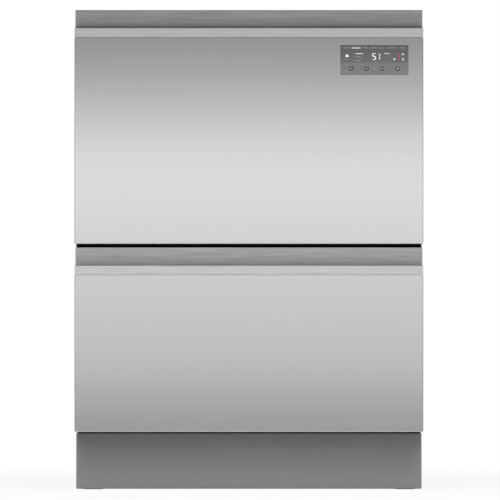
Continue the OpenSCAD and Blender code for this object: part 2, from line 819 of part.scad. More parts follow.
// Rotor in the sump: a disc with blades, and a hub on the spindle that the spray arm rests on
module pump_rotor(k) {
    z = sump_floor(k) + 1;
    hub_h = arm_z(k) - slip - z;
    color([0.25, 0.26, 0.28]) translate([0, tub_mid_y, z]) difference() {
        union() {
            cylinder(r = rotor_r, h = rotor_disc_t);
            cylinder(r = rotor_hub_r, h = hub_h);
            for (a = [0 : 45 : 315])
                rotate([0, 0, a])
                    box([rotor_hub_r - 1, -1, 1], [rotor_r - 2, 1, rotor_disc_t + rotor_blade_h]);
        }
        translate([0, 0, -over]) cylinder(r = spindle_r + running_fit, h = hub_h + 2 * over);
    }
}

plate_t = 2;
plate_side_gap = 74;
filter_x = 118;
filter_y = -70;
slot_len = 22;
slot_w = 3;
slot_rings = [[95, 18], [150, 30]];

// True for a slot that keeps clear of the round hole for the drain filter
function clear_of_filter(r, a) =
    norm([(r + slot_len / 2) * cos(a), (r + slot_len / 2) * sin(a)] - [filter_x, filter_y]) > filter_r + 16;

// Steel plate on the tub floor, with slots round the sump
module filter_plate(k) {
    color("silver") translate([0, tub_mid_y, tub_floor(k)]) difference() {
        round_block(tub_w - 2 * plate_side_gap, tub_d - 2 * plate_side_gap, plate_t, 40);
        translate([0, 0, -over]) linear_extrude(plate_t + 2 * over) union() {
            circle(r = sump_r / 2);
            translate([filter_x, filter_y]) circle(r = filter_r + slip);
            for (ring = slot_rings, i = [0 : ring[1] - 1]) {
                a = i * 360 / ring[1];
                if (clear_of_filter(ring[0], a))
                    rotate(a) translate([ring[0], -slot_w / 2]) square([slot_len, slot_w]);
            }
        }
    }
}

// Round strainer with a bar to lift it by
module drain_filter(k) {
    color([0.3, 0.32, 0.34]) translate([filter_x, tub_mid_y + filter_y, tub_floor(k)]) union() {
        difference() {
            cylinder(r = filter_r, h = 8);
            translate([0, 0, 2]) cylinder(r = filter_r - 2.5, h = 8);
            for (a = [0 : 30 : 330])
                rotate([0, 0, a]) translate([filter_r / 2 - 3, -1, -over]) cube([filter_r / 2 - 3, 2, 4]);
        }
        box([1 - filter_r, -3, 5], [filter_r - 1, 3, 12]);
    }
}

hub_r = 17;
hub_cap_h = 6;
jets = [0.28, 0.46, 0.64, 0.8, 0.93];

// Two-bladed arm whose hub turns on the spindle
module spray_arm(k) {
    half = spray_arm_len / 2;
    blade = [[hub_r - 2, -14], [hub_r + 6, -20], [half - 14, -24], [half, -14], [half, 12],
             [half - 14, 18], [hub_r - 2, 14]];
    color([0.55, 0.57, 0.6]) translate([0, tub_mid_y, arm_z(k)]) difference() {
        union() {
            cylinder(r = hub_r, h = spray_blade_t + hub_cap_h);
            for (a = [0, 180])
                rotate([0, 0, a]) linear_extrude(spray_blade_t) polygon(blade);
        }
        translate([0, 0, -over]) cylinder(r = spindle_r + running_fit, h = spray_blade_t + over + 1);
        for (a = [0, 180], share = jets)
            rotate([0, 0, a]) translate([share * half, -5, spray_blade_t - 2]) cylinder(r = 2.2, h = 4);
    }
}

// ---- Dispensers ----

dispenser_in = 4;
bezel = 5;
dispenser_face_y = tub_y + tub_wall + dispenser_in;
dispenser_back_y = front_back_y - 12;
cover_lap = 4;
cover_hw = cup_w / 2 + cover_lap;
cover_hh = cup_h / 2 + cover_lap;
cover_travel = cup_w + cover_lap + 2;
guide_wall = 2;
guide_lip = 1.5;
guide_lip_t = 1.2;
cup_x = cover_hw + guide_wall - dispenser_w / 2;
cup_front_wall = 2;
rinse_x = dispenser_w / 2 - 25;
rinse_cap_r = 15;
dispenser_below_rim = rim_z(LOWER) - pocket_bottom(LOWER) + dispenser_below_pocket;
function dispenser_mid_z(k) = rim_z(k) - dispenser_below_rim - dispenser_h / 2;

// Detergent cup, flush rinse-aid cap and the guide frame that the cover slides in
module dispenser(k) {
    face = dispenser_face_y;
    frame_low_x = cup_x - cover_hw - slip;
    frame_high_x = cup_x + cover_hw + cover_travel + slip;
    frame_hh = cover_hh + slip;
    channel_y = face + cover_t + 2 * slip;
    color([0.6, 0.62, 0.65]) translate([0, 0, dispenser_mid_z(k)]) difference() {
        union() {
            box([-dispenser_w / 2, dispenser_back_y, -dispenser_h / 2],
                [dispenser_w / 2, face, dispenser_h / 2]);
            box([-dispenser_w / 2 - bezel, tub_y + tub_wall, -dispenser_h / 2 - bezel],
                [dispenser_w / 2 + bezel, face, dispenser_h / 2 + bezel]);
            box([frame_low_x - guide_wall, face - over, -frame_hh - guide_wall],
                [frame_high_x + guide_wall, channel_y + guide_lip_t, frame_hh + guide_wall]);
        }
        box([frame_low_x, face, -frame_hh], [frame_high_x, channel_y, frame_hh]);
        box([frame_low_x, face, guide_lip - frame_hh],
            [frame_high_x, channel_y + 2 * over, frame_hh - guide_lip]);
        translate([cup_x, 0, 0])
            box([-cup_w / 2, dispenser_back_y + cup_front_wall, -cup_h / 2],
                [cup_w / 2, face + over, cup_h / 2]);
        translate([rinse_x, face, 0]) {
            difference() {
                rod_y(0, 0, 0, 2, rinse_cap_r);
                rod_y(0, 0, 0, 4, rinse_cap_r - 1);
            }
            box([2 - rinse_cap_r, -2, -1.5], [rinse_cap_r - 2, over, 1.5]);
        }
    }
}

// Cover that slides sideways off the detergent cup, with a ridge to push it by
module dispenser_cover(k) {
    y = dispenser_face_y + slip;
    color([0.66, 0.68, 0.7]) translate([cup_x, y, dispenser_mid_z(k)]) union() {
        box([-cover_hw, 0, -cover_hh], [cover_hw, cover_t, cover_hh]);
        for (x = [-cup_w / 2 + 4, -cup_w / 2 + 9])
            box([x, cover_t - over, -cup_h / 4], [x + 2, cover_t + 3, cup_h / 4]);
    }
}

// ---- Racks ----

rack_hw = tub_hw - tub_wall - rack_side_gap;
rack_front_y = tub_y + tub_wall + rack_front_gap;
rack_rear_y = tub_rear_y - tub_wall - rack_rear_gap;
rack_hd = (rack_rear_y - rack_front_y) / 2;
rack_mid_y = (rack_front_y + rack_rear_y) / 2;
rack_leg_r = 5;
leg_ring_r = 9;
across_wires = 13;
along_wires = 10;
tine_r = 1.6;
tine_n = floor((2 * rack_hd - 80) / tine_pitch / 2);
tine_y = [for (i = [-tine_n : tine_n]) i * tine_pitch];
tine_row_end = tine_n * tine_pitch;
clip_t = 8;
clip_wall = 3;
rod_fit_r = wire_t / 2 + running_fit;
function rack_z(k) = tub_floor(k) + rack_up;
function rack_top(k) = rack_z(k) + rack_wall_h;
function tine_rod_z(k) = rack_z(k) + wire_t + clip_wall + rod_fit_r;
function cup_rod_z(k) = rack_top(k) + clip_wall + rod_fit_r;
cup_rod_x = rack_hw - wire_t / 2;

// A flat lattice of bars: one bar along Y at each place in xs, and one along X at each in ys
module lattice(w, d, xs, ys) {
    linear_extrude(wire_t) union() {
        for (x = xs) translate([x - wire_t / 2, -d / 2]) square([wire_t, d]);
        for (y = ys) translate([-w / 2, y - wire_t / 2]) square([w, wire_t]);
    }
}

wire_xs = spread_all(across_wires, rack_hw - wire_t / 2);
wire_ys = spread_all(along_wires, rack_hd - wire_t / 2);

// The four places on the rack floor where a leg stands, and the rings that hold the legs there
module at_legs() {
    for (side = SIDES, y = [wire_ys[1], -wire_ys[1]])
        translate([side * wire_xs[1], y, 0]) children();
}

module rack_floor() {
    difference() {
        union() {
            lattice(2 * rack_hw, 2 * rack_hd, wire_xs, wire_ys);
            at_legs() rod_z(0, 0, 0, wire_t, leg_ring_r);
        }
        at_legs() rod_z(0, 0, -over, wire_t + 2 * over, rack_leg_r + running_fit);
    }
}

// Rack: a lattice floor on four pushed-in legs, four lattice walls and a fixed row of plate tines
module rack(k) {
    rails = [-rack_wall_h / 2 + wire_t / 2, 0, rack_wall_h / 2 - wire_t / 2];
    fixed_rows = k == UPPER ? [tine_row_gap / 2] : [-tine_row_gap / 2, tine_row_gap / 2];
    color([0.6, 0.62, 0.64]) translate([0, rack_mid_y, rack_z(k)]) union() {
        rack_floor();
        at_legs() rod_z(0, 0, -rack_up, rack_up + wire_t, rack_leg_r);
        for (side = SIDES) {
            translate([side * rack_hw - (side == RIGHT ? wire_t : 0), 0, rack_wall_h / 2])
                rotate([90, 0, 90]) lattice(2 * rack_hd, rack_wall_h, wire_ys, rails);
            translate([0, side * rack_hd + (side == LEFT ? wire_t : 0), rack_wall_h / 2])
                rotate([90, 0, 0]) lattice(2 * rack_hw, rack_wall_h, wire_xs, rails);
        }
        for (x = fixed_rows) {
            translate([x - tine_r, -tine_row_end - 20, 0]) cube([2 * tine_r, 2 * tine_row_end + 40, wire_t]);
            for (y = tine_y)
                rod_z(x, y, 1, tine_h - 1, tine_r);
        }
        if (k == UPPER) {
            tine_clips();
            cup_rack_clips();
        }
    }
}

tine_clip_y = tine_row_end + tine_pitch / 2;

// Clips on the rack floor that hold the rod of the folding tines
module tine_clips() {
    z = tine_rod_z(UPPER) - rack_z(UPPER);
    x = -tine_row_gap / 2;
    out = rod_fit_r + clip_wall;
    for (side = SIDES)
        translate([x, side * tine_clip_y, 0]) difference() {
            union() {
                box([-out, -clip_t / 2, 0], [out, clip_t / 2, z + out]);
                box([-tine_pitch, -clip_t / 2, 0], [tine_pitch, clip_t / 2, wire_t]);
            }
            rod_y(0, 0, z, clip_t + 2 * over, rod_fit_r);
        }
}

cup_clip_y = cup_rack_len / 2 - 30;

// Clips on the side walls that hold the rods of the cup racks
module cup_rack_clips() {
    z = cup_rod_z(UPPER) - rack_z(UPPER);
    out = rod_fit_r + clip_wall;
    for (side = SIDES, y = [-cup_clip_y, cup_clip_y])
        translate([side * cup_rod_x, y, 0]) difference() {
            box([-wire_t / 2, -clip_t / 2, rack_wall_h - wire_t], [wire_t / 2, clip_t / 2, z]);
            rod_y(0, 0, z, clip_t + 2 * over, rod_fit_r);
        }
    for (side = SIDES, y = [-cup_clip_y, cup_clip_y])
        translate([side * cup_rod_x, y, z]) difference() {
            rod_y(0, 0, 0, clip_t, out);
            rod_y(0, 0, 0, clip_t + 2 * over, rod_fit_r);
        }
}

// Row of plate tines on a rod that folds them flat
module folding_tines(k) {
    x = -tine_row_gap / 2;
    z = tine_rod_z(k);
    color([0.5, 0.52, 0.55]) translate([x, rack_mid_y, z]) union() {
        rod_y(0, 0, 0, 2 * tine_clip_y + clip_t + 8, wire_t / 2);
        for (y = tine_y)
            rod_z(0, y, 0, rack_z(k) + tine_h - z, tine_r);
    }
}

cup_bars = 11;
cup_notch = clip_t + 2;

// Folding shelf for cups, on a rod along the rack's side wall
module cup_rack(side) {
    inner = rod_fit_r + clip_wall + slip;
    w = cup_rack_w - inner;
    bars = spread_all(cup_bars, cup_rack_len / 2 - wire_t / 2);
    color([0.5, 0.52, 0.55])
        mirror_x(side) translate([cup_rod_x, rack_mid_y, cup_rod_z(UPPER)]) union() {
            rod_y(0, 0, 0, cup_rack_len, wire_t / 2);
            translate([-inner - w / 2, 0, -wire_t / 2])
                lattice(w, cup_rack_len, [wire_t / 2 - w / 2, 0, w / 2 - wire_t / 2], bars);
            for (y = bars)
                if (abs(abs(y) - cup_clip_y) > cup_notch)
                    box([-inner - 1, y - wire_t / 2, -wire_t / 2], [0, y + wire_t / 2, wire_t / 2 - 0.4]);
        }
}

basket_wall = 2;
basket_cells = 3;
basket_side_gap = 18;
basket_slot_pitch = 14;
basket_slot_w = 6;
basket_bar_t = 5;
basket_x = rack_hw - basket_side_gap - basket_w / 2;

// Cutlery basket with slotted walls, three cells and a bar to lift it by
module cutlery_basket() {
    hw = basket_w / 2;
    hd = basket_d / 2;
    cell_d = (basket_d - basket_wall) / basket_cells;
    slot_n = floor((hd - 12) / basket_slot_pitch);
    slot_h = (basket_h - 36) / 2;
    bar_low = basket_h + basket_grip_h;
    color([0.45, 0.47, 0.5]) translate([basket_x, rack_mid_y, rack_z(LOWER) + wire_t]) union() {
        difference() {
            box([-hw, -hd, 0], [hw, hd, basket_h]);
            for (i = [0 : basket_cells - 1])
                box([basket_wall - hw, basket_wall - hd + i * cell_d, basket_wall],
                    [hw - basket_wall, (i + 1) * cell_d - hd, basket_h + over]);
            for (i = [-slot_n : slot_n], z = [12, 24 + slot_h])
                box([-basket_w, i * basket_slot_pitch - basket_slot_w / 2, z],
                    [basket_w, i * basket_slot_pitch + basket_slot_w / 2, z + slot_h]);
        }
        for (side = SIDES)
            translate([-7, side * (hd - basket_wall) - basket_wall, basket_h - 8])
                cube([14, 2 * basket_wall, basket_grip_h + basket_bar_t + 8]);
        box([-7, -hd, bar_low], [7, hd, bar_low + basket_bar_t]);
    }
}

// ---- The parts, one node each ----

base_tray();
side_panel(LEFT);  // left_side_panel
side_panel(RIGHT);  // right_side_panel
rear_panel();
top_panel();
cross_brace();
kickplate();
front_gasket();
chassis_screws();
water_inlet_valve();
drain_union();
mains_gland();
cabinet_rails();
lid_actuators();
foot(LEFT, foot_front_y);  // foot_front_left
foot(RIGHT, foot_front_y);  // foot_front_right
foot(LEFT, foot_rear_y);  // foot_rear_left
foot(RIGHT, foot_rear_y);  // foot_rear_right
control_window();
control_module();
button(0);  // button_power
button(1);  // button_up
button(2);  // button_down
button(3);  // button_start
front_skin(UPPER);  // upper_front_skin
handle(UPPER);  // upper_handle
front_liner(UPPER);  // upper_front_liner
tub(UPPER);  // upper_tub
drawer_rails(UPPER);  // upper_drawer_rails
middle_rails(UPPER);  // upper_middle_rails
lid(UPPER);  // upper_lid
lid_seal(UPPER);  // upper_lid_seal
wash_motor(UPPER);  // upper_wash_motor
pump_rotor(UPPER);  // upper_pump_rotor
filter_plate(UPPER);  // upper_filter_plate
drain_filter(UPPER);  // upper_drain_filter
spray_arm(UPPER);  // upper_spray_arm
dispenser(UPPER);  // upper_dispenser
dispenser_cover(UPPER);  // upper_dispenser_cover
rack(UPPER);  // upper_rack
folding_tines(UPPER);  // upper_folding_tines
cup_rack(LEFT);  // upper_cup_rack_left
cup_rack(RIGHT);  // upper_cup_rack_right
front_skin(LOWER);  // lower_front_skin
handle(LOWER);  // lower_handle
front_liner(LOWER);  // lower_front_liner
tub(LOWER);  // lower_tub
drawer_rails(LOWER);  // lower_drawer_rails
middle_rails(LOWER);  // lower_middle_rails
lid(LOWER);  // lower_lid
lid_seal(LOWER);  // lower_lid_seal
wash_motor(LOWER);  // lower_wash_motor
pump_rotor(LOWER);  // lower_pump_rotor
filter_plate(LOWER);  // lower_filter_plate
drain_filter(LOWER);  // lower_drain_filter
spray_arm(LOWER);  // lower_spray_arm
dispenser(LOWER);  // lower_dispenser
dispenser_cover(LOWER);  // lower_dispenser_cover
rack(LOWER);  // lower_rack
cutlery_basket();  // lower_cutlery_basket
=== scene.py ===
# Looks of the double-drawer dishwasher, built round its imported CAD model: +X right, the fronts
# face -Y, +Z up. Shapes are worked out in millimetres, and piece() makes them in metres.
import math
import bmesh
import bpy
import numpy as np
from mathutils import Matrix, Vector


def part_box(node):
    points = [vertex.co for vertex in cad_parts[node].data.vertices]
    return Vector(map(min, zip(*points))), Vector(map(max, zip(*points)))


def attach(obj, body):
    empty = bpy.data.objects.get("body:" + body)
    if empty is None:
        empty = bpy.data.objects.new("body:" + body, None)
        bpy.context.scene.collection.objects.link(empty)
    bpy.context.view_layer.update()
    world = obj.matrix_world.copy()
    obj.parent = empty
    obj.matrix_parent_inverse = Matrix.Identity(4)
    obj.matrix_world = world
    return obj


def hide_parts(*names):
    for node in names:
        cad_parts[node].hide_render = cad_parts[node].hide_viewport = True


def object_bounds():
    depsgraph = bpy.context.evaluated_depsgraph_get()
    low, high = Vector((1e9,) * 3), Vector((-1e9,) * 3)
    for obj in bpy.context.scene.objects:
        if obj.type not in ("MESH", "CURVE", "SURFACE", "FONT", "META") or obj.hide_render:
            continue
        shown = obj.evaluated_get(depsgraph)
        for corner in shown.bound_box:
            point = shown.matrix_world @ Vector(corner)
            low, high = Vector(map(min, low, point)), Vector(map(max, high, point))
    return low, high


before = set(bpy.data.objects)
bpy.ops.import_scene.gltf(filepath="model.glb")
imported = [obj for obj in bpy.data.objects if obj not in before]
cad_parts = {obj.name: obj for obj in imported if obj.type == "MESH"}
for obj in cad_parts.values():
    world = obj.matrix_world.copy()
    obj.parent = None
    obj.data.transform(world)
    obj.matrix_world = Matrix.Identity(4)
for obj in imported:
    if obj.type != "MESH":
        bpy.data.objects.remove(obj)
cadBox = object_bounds()
mm = 0.001
tau = 2 * math.pi
hair = 0.001  # the radius at which a turned shape is closed on its axis
wireSides = 8
threadRings = 6  # rings in one turn of a thread
joinWithin = 2e-6  # points this near are one, in metres
kinds = ("upper", "lower")
signs = (-1, 1)


def cad(node):  # the node's lowest and highest corner, in millimetres
    low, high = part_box(node)
    return np.array(low) / mm, np.array(high) / mm


def quarter(steps):  # the angles of a quarter turn
    return np.linspace(0, math.pi / 2, steps + 1)


def listOf(faces):  # faces as a plain list, whether they come as one or as an array
    return faces.tolist() if isinstance(faces, np.ndarray) else faces


# A grid of points P[u, v] made quads; closeU or closeV joins the last row or column to the first.
def sheetOf(points, closeU=False, closeV=False):
    nu, nv = points.shape[:2]
    index = np.arange(nu * nv).reshape(nu, nv)
    u = np.arange(nu if closeU else nu - 1)
    v = np.arange(nv if closeV else nv - 1)
    a, b = np.meshgrid(u, v, indexing="ij")
    c, d = (a + 1) % nu, (b + 1) % nv
    quads = np.stack([index[a, b], index[c, b], index[c, d], index[a, d]], axis=-1)
    return points.reshape(-1, 3), quads.reshape(-1, 4)


# Several surfaces as one: their points in a row, and the faces counted on.
def together(parts):
    points, faces, start = [], [], 0
    for p, f in parts:
        points.append(p)
        faces += [[i + start for i in row] for row in listOf(f)]
        start += len(p)
    return np.concatenate(points), faces


# A tube whose rings are the rows of P. With closeU its last ring joins its first; if not, one
# many-sided face closes each end.
def solidOf(points, closeU=False):
    corners, quads = sheetOf(points, closeU=closeU, closeV=True)
    if closeU:
        return corners, quads
    nu, nv = points.shape[:2]
    return corners, quads.tolist() + [list(range(nv))[::-1], list(range((nu - 1) * nv, nu * nv))]


# Rings round an axis: the point at angle a is radius times (cos a, sin a) across the axis, and
# height along it. Both have a row for each ring, and a column for each angle or just one.
def rings(radius, height, centre, sides, axis):
    a = np.arange(sides) * tau / sides
    x, y = radius * np.cos(a), radius * np.sin(a)
    grid = np.stack([x, y, np.broadcast_to(height, x.shape)], axis=-1)
    return (grid[..., [0, 2, 1]] if axis == "y" else grid) + np.array(centre, float)


# A turned shape: each radius and height of the profile is swept round the axis at centre.
def turned(profile, centre=(0, 0, 0), sides=40, axis="z"):
    r, z = np.array(profile, float).T[:, :, None]
    return solidOf(rings(r, z, centre, sides, axis))


def raised(profile, by):  # a profile moved along its axis
    return [(r, z + by) for r, z in profile]


# A screw thread: the radius at height z and angle a falls by a V whose phase is z over the pitch
# less a over a whole turn, so the groove climbs as one helix. It fades out at both ends.
def threaded(r, depth, pitch, z0, z1, centre, axis="z", sides=24):
    z = np.linspace(z0, z1, int((z1 - z0) / pitch * threadRings) + 1)[:, None]
    phase = (z / pitch - np.arange(sides) / sides) % 1.0
    taper = np.clip(np.minimum(z - z0, z1 - z) / pitch, 0, 1)
    return solidOf(rings(r - depth * np.abs(2 * phase - 1) * taper, z, centre, sides, axis))


# A round wire: a circle of radius r set across each point of a flat path, whose plane has the
# given normal n. The circle lies in n and n x t, where t is the path's direction there.
def wire(path, normal, r, closed=False):
    path, n = np.array(path, float), np.array(normal, float)
    step = np.roll(path, -1, 0) - np.roll(path, 1, 0) if closed else np.gradient(path, axis=0)
    across = np.cross(n, step / np.linalg.norm(step, axis=1)[:, None])[:, None]
    a = (np.arange(wireSides) * tau / wireSides)[:, None]
    return solidOf(path[:, None] + r * (np.cos(a) * n + np.sin(a) * across), closeU=closed)


def strut(start, end, normal, r):  # a straight wire
    return wire(np.linspace(start, end, 3), normal, r)


def copies(shape, places):  # one shape at each of the places
    p, f = shape
    return together([(p + np.array(q, float), f) for q in places])


# Corner i of a flat path is rounded with radius[i]: an arc that touches both its sides.
def rounded(corners, radii, steps=6, closed=True):
    c = np.array(corners, float)
    count = len(c)
    radii = [radii] * count if np.isscalar(radii) else radii
    out = []
    for i, r in enumerate(radii):
        if r == 0 or (not closed and i in (0, count - 1)):
            out.append(c[i:i + 1])
            continue
        before, after = c[i - 1] - c[i], c[(i + 1) % count] - c[i]
        before, after = before / np.linalg.norm(before), after / np.linalg.norm(after)
        half = math.acos(max(-1.0, min(1.0, float(before @ after)))) / 2
        middle = (before + after) / np.linalg.norm(before + after)
        centre = c[i] + middle * r / math.sin(half)
        start = c[i] + before * r / math.tan(half) - centre
        end = c[i] + after * r / math.tan(half) - centre
        turn = math.pi - 2 * half
        s = np.linspace(0, 1, steps + 1)[:, None] * turn
        out.append(centre + (np.sin(turn - s) * start + np.sin(s) * end) / math.sin(turn))
    return np.concatenate(out)


def rectangle(x0, z0, x1, z1, r=0, steps=3):
    return rounded([(x0, z0), (x1, z0), (x1, z1), (x0, z1)], r, steps)


# A flat outline, given in the plane's two axes, carried along the third from low to high.
def bar(outline, low, high, along="x"):
    o = np.array(outline, float)
    grid = np.empty((2, len(o), 3))
    first, second, third = {"x": (1, 2, 0), "y": (0, 2, 1), "z": (0, 1, 2)}[along]
    grid[..., first] = o[:, 0]
    grid[..., second] = o[:, 1]
    grid[..., third] = np.array([low, high], float)[:, None]
    return solidOf(grid)


# Rounded rectangle with half sizes w and d, going round from the middle of its +X side. Extra
# points are put at the given x on its two long sides.
def loopOf(w, d, r, steps=8, marks=()):
    a = quarter(steps)
    arc = np.stack([np.cos(a), np.sin(a)], axis=-1) * r
    flip = np.array([[1, 1], [-1, 1], [-1, -1], [1, -1]])
    parts = []
    for q in range(4):
        corner = (arc if q % 2 == 0 else arc[::-1]) * flip[q]
        parts.append(corner + flip[q] * np.array([w - r, d - r]))
        if q % 2 == 0 and len(marks):
            xs = np.array(sorted(marks, reverse=(q == 0)))
            parts.append(np.stack([xs, np.full(len(xs), d if q == 0 else -d)], axis=-1))
    return np.concatenate(parts)


def level(loop, z, centre=(0, 0)):  # a flat loop moved to centre, at height z
    return np.column_stack([loop + np.array(centre), np.full(len(loop), z)])


# Rounded block: a rounded rectangle in X and Y whose size grows and shrinks by a quarter circle of
# radius edge at its bottom and top.
def block(low, high, corner, edge, least=0.05):
    low, high = np.array(low, float), np.array(high, float)
    centre, half = (low + high) / 2, (high - low) / 2
    a = quarter(5)
    inset = np.concatenate([edge * (1 - np.sin(a)), edge * (1 - np.cos(a))])
    z = np.concatenate([low[2] + edge * (1 - np.cos(a)), high[2] - edge * (1 - np.sin(a))])
    return solidOf(np.stack([level(loopOf(half[0] - i, half[1] - i, max(corner - i, least)), h, centre[:2])
                             for i, h in zip(inset, z)]))


# An object on a body: equal points are joined, faces turned outward, and an edge is sharp where the
# faces meet steeply or where a sheet ends. solid is a sheet's thickness.
def piece(name, shape, body, look, replaces=(), sharp=35, weighted=False, solid=None):
    points, faces = shape
    mesh = bpy.data.meshes.new(name)
    mesh.from_pydata((points * mm).tolist(), [], listOf(faces))
    work = bmesh.new()
    work.from_mesh(mesh)
    bmesh.ops.remove_doubles(work, verts=work.verts, dist=joinWithin)
    bmesh.ops.recalc_face_normals(work, faces=work.faces)
    rims = [e.index for e in work.edges if e.is_boundary]
    work.to_mesh(mesh)
    work.free()
    mesh.polygons.foreach_set("use_smooth", np.ones(len(mesh.polygons), bool))
    mesh.set_sharp_from_angle(angle=math.radians(sharp))
    for i in rims:
        mesh.edges[i].use_edge_sharp = True
    mesh.materials.append(mats[look])
    obj = bpy.data.objects.new(name, mesh)
    bpy.context.scene.collection.objects.link(obj)
    if solid is not None:
        wall = obj.modifiers.new("wall", "SOLIDIFY")
        wall.thickness, wall.offset = solid * mm, -1
    if weighted:
        obj.modifiers.new("even", "WEIGHTED_NORMAL").keep_sharp = True
    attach(obj, body)
    if replaces:
        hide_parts(*replaces)
    return obj


# Each input of a shader node gets a value, or a link from a socket.
def feed(tree, node, inputs):
    for key, value in inputs.items():
        if isinstance(value, bpy.types.NodeSocket):
            tree.links.new(value, node.inputs[key])
        else:
            node.inputs[key].default_value = value


def shaderNode(tree, kind, inputs=(), **settings):
    node = tree.nodes.new("ShaderNode" + kind)
    for key, value in settings.items():
        setattr(node, key, value)
    feed(tree, node, dict(inputs))
    return node


def grey(tone):
    return (tone, tone, tone, 1)


# What a finish has where its own settings say nothing. grain and patch are the waves a metre of the
# fine and the broad noise, and cells those of a spangle: one number, or one each for X, Y and Z.
# relief is in metres, span is the part of a noise's range that the drift is spread over, and
# fineShare is the fine noise's part in the colour.
plainFinish = {"metal": 0.0, "rough": 0.5, "roughDrift": 0.05, "drift": 0.06, "grain": 400, "patch": 6,
               "detail": 3.0, "patchDetail": 2.0, "fineShare": 0.5, "span": (0.25, 0.75), "cells": None,
               "relief": 0.0, "coat": 0.0, "coatRough": 0.1, "ior": 1.5}


# One finish: a base colour that drifts between two shades, a roughness that drifts with a finer
# grain, and a small relief.
def finish(name, settings):
    s = {**plainFinish, **settings}
    mat = bpy.data.materials.new(name)
    mat.use_nodes = True
    tree = mat.node_tree
    shader = tree.nodes["Principled BSDF"]
    where = shaderNode(tree, "TexCoord").outputs["Object"]

    def pattern(kind, waves, **more):
        scale = np.full(3, waves, float).tolist()
        place = shaderNode(tree, "Mapping", {"Vector": where, "Scale": scale}).outputs["Vector"]
        return shaderNode(tree, kind, {"Vector": place, "Scale": 1.0, **more})

    def between(source, low, high):
        start, end = s["span"]
        return shaderNode(tree, "MapRange", {"Value": source, "From Min": start, "From Max": end,
                                             "To Min": low, "To Max": high}).outputs["Result"]

    fine = pattern("TexNoise", s["grain"], Detail=s["detail"]).outputs["Fac"]
    if s["cells"]:
        cell = pattern("TexVoronoi", s["cells"]).outputs["Color"]
        split = shaderNode(tree, "SeparateColor", {"Color": cell})
        tone, rub = split.outputs["Red"], split.outputs["Green"]
    else:
        broad = pattern("TexNoise", s["patch"], Detail=s["patchDetail"]).outputs["Fac"]
        share = s["fineShare"]
        rest = shaderNode(tree, "Math", {0: broad, 1: 1 - share}, operation="MULTIPLY").outputs["Value"]
        both = shaderNode(tree, "Math", {0: fine, 1: share, 2: rest}, operation="MULTIPLY_ADD")
        tone, rub = between(both.outputs["Value"], 0.0, 1.0), fine
    colour = np.full(3, s["colour"], float)
    dark, pale = [(*np.clip(colour * (1 + way * s["drift"]), 0, 1), 1) for way in signs]
    shade = shaderNode(tree, "Mix", {"Factor": tone, "A": dark, "B": pale}, data_type="RGBA")
    smooth, coarse = [s["rough"] + way * s["roughDrift"] for way in signs]
    feed(tree, shader, {"Base Color": shade.outputs["Result"], "Metallic": s["metal"], "IOR": s["ior"],
                        "Roughness": between(rub, smooth, coarse), "Coat Weight": s["coat"],
                        "Coat Roughness": s["coatRough"]})
    if s["relief"]:
        bump = shaderNode(tree, "Bump", {"Height": fine, "Distance": s["relief"], "Strength": 1.0})
        feed(tree, shader, {"Normal": bump.outputs["Normal"]})
    return mat


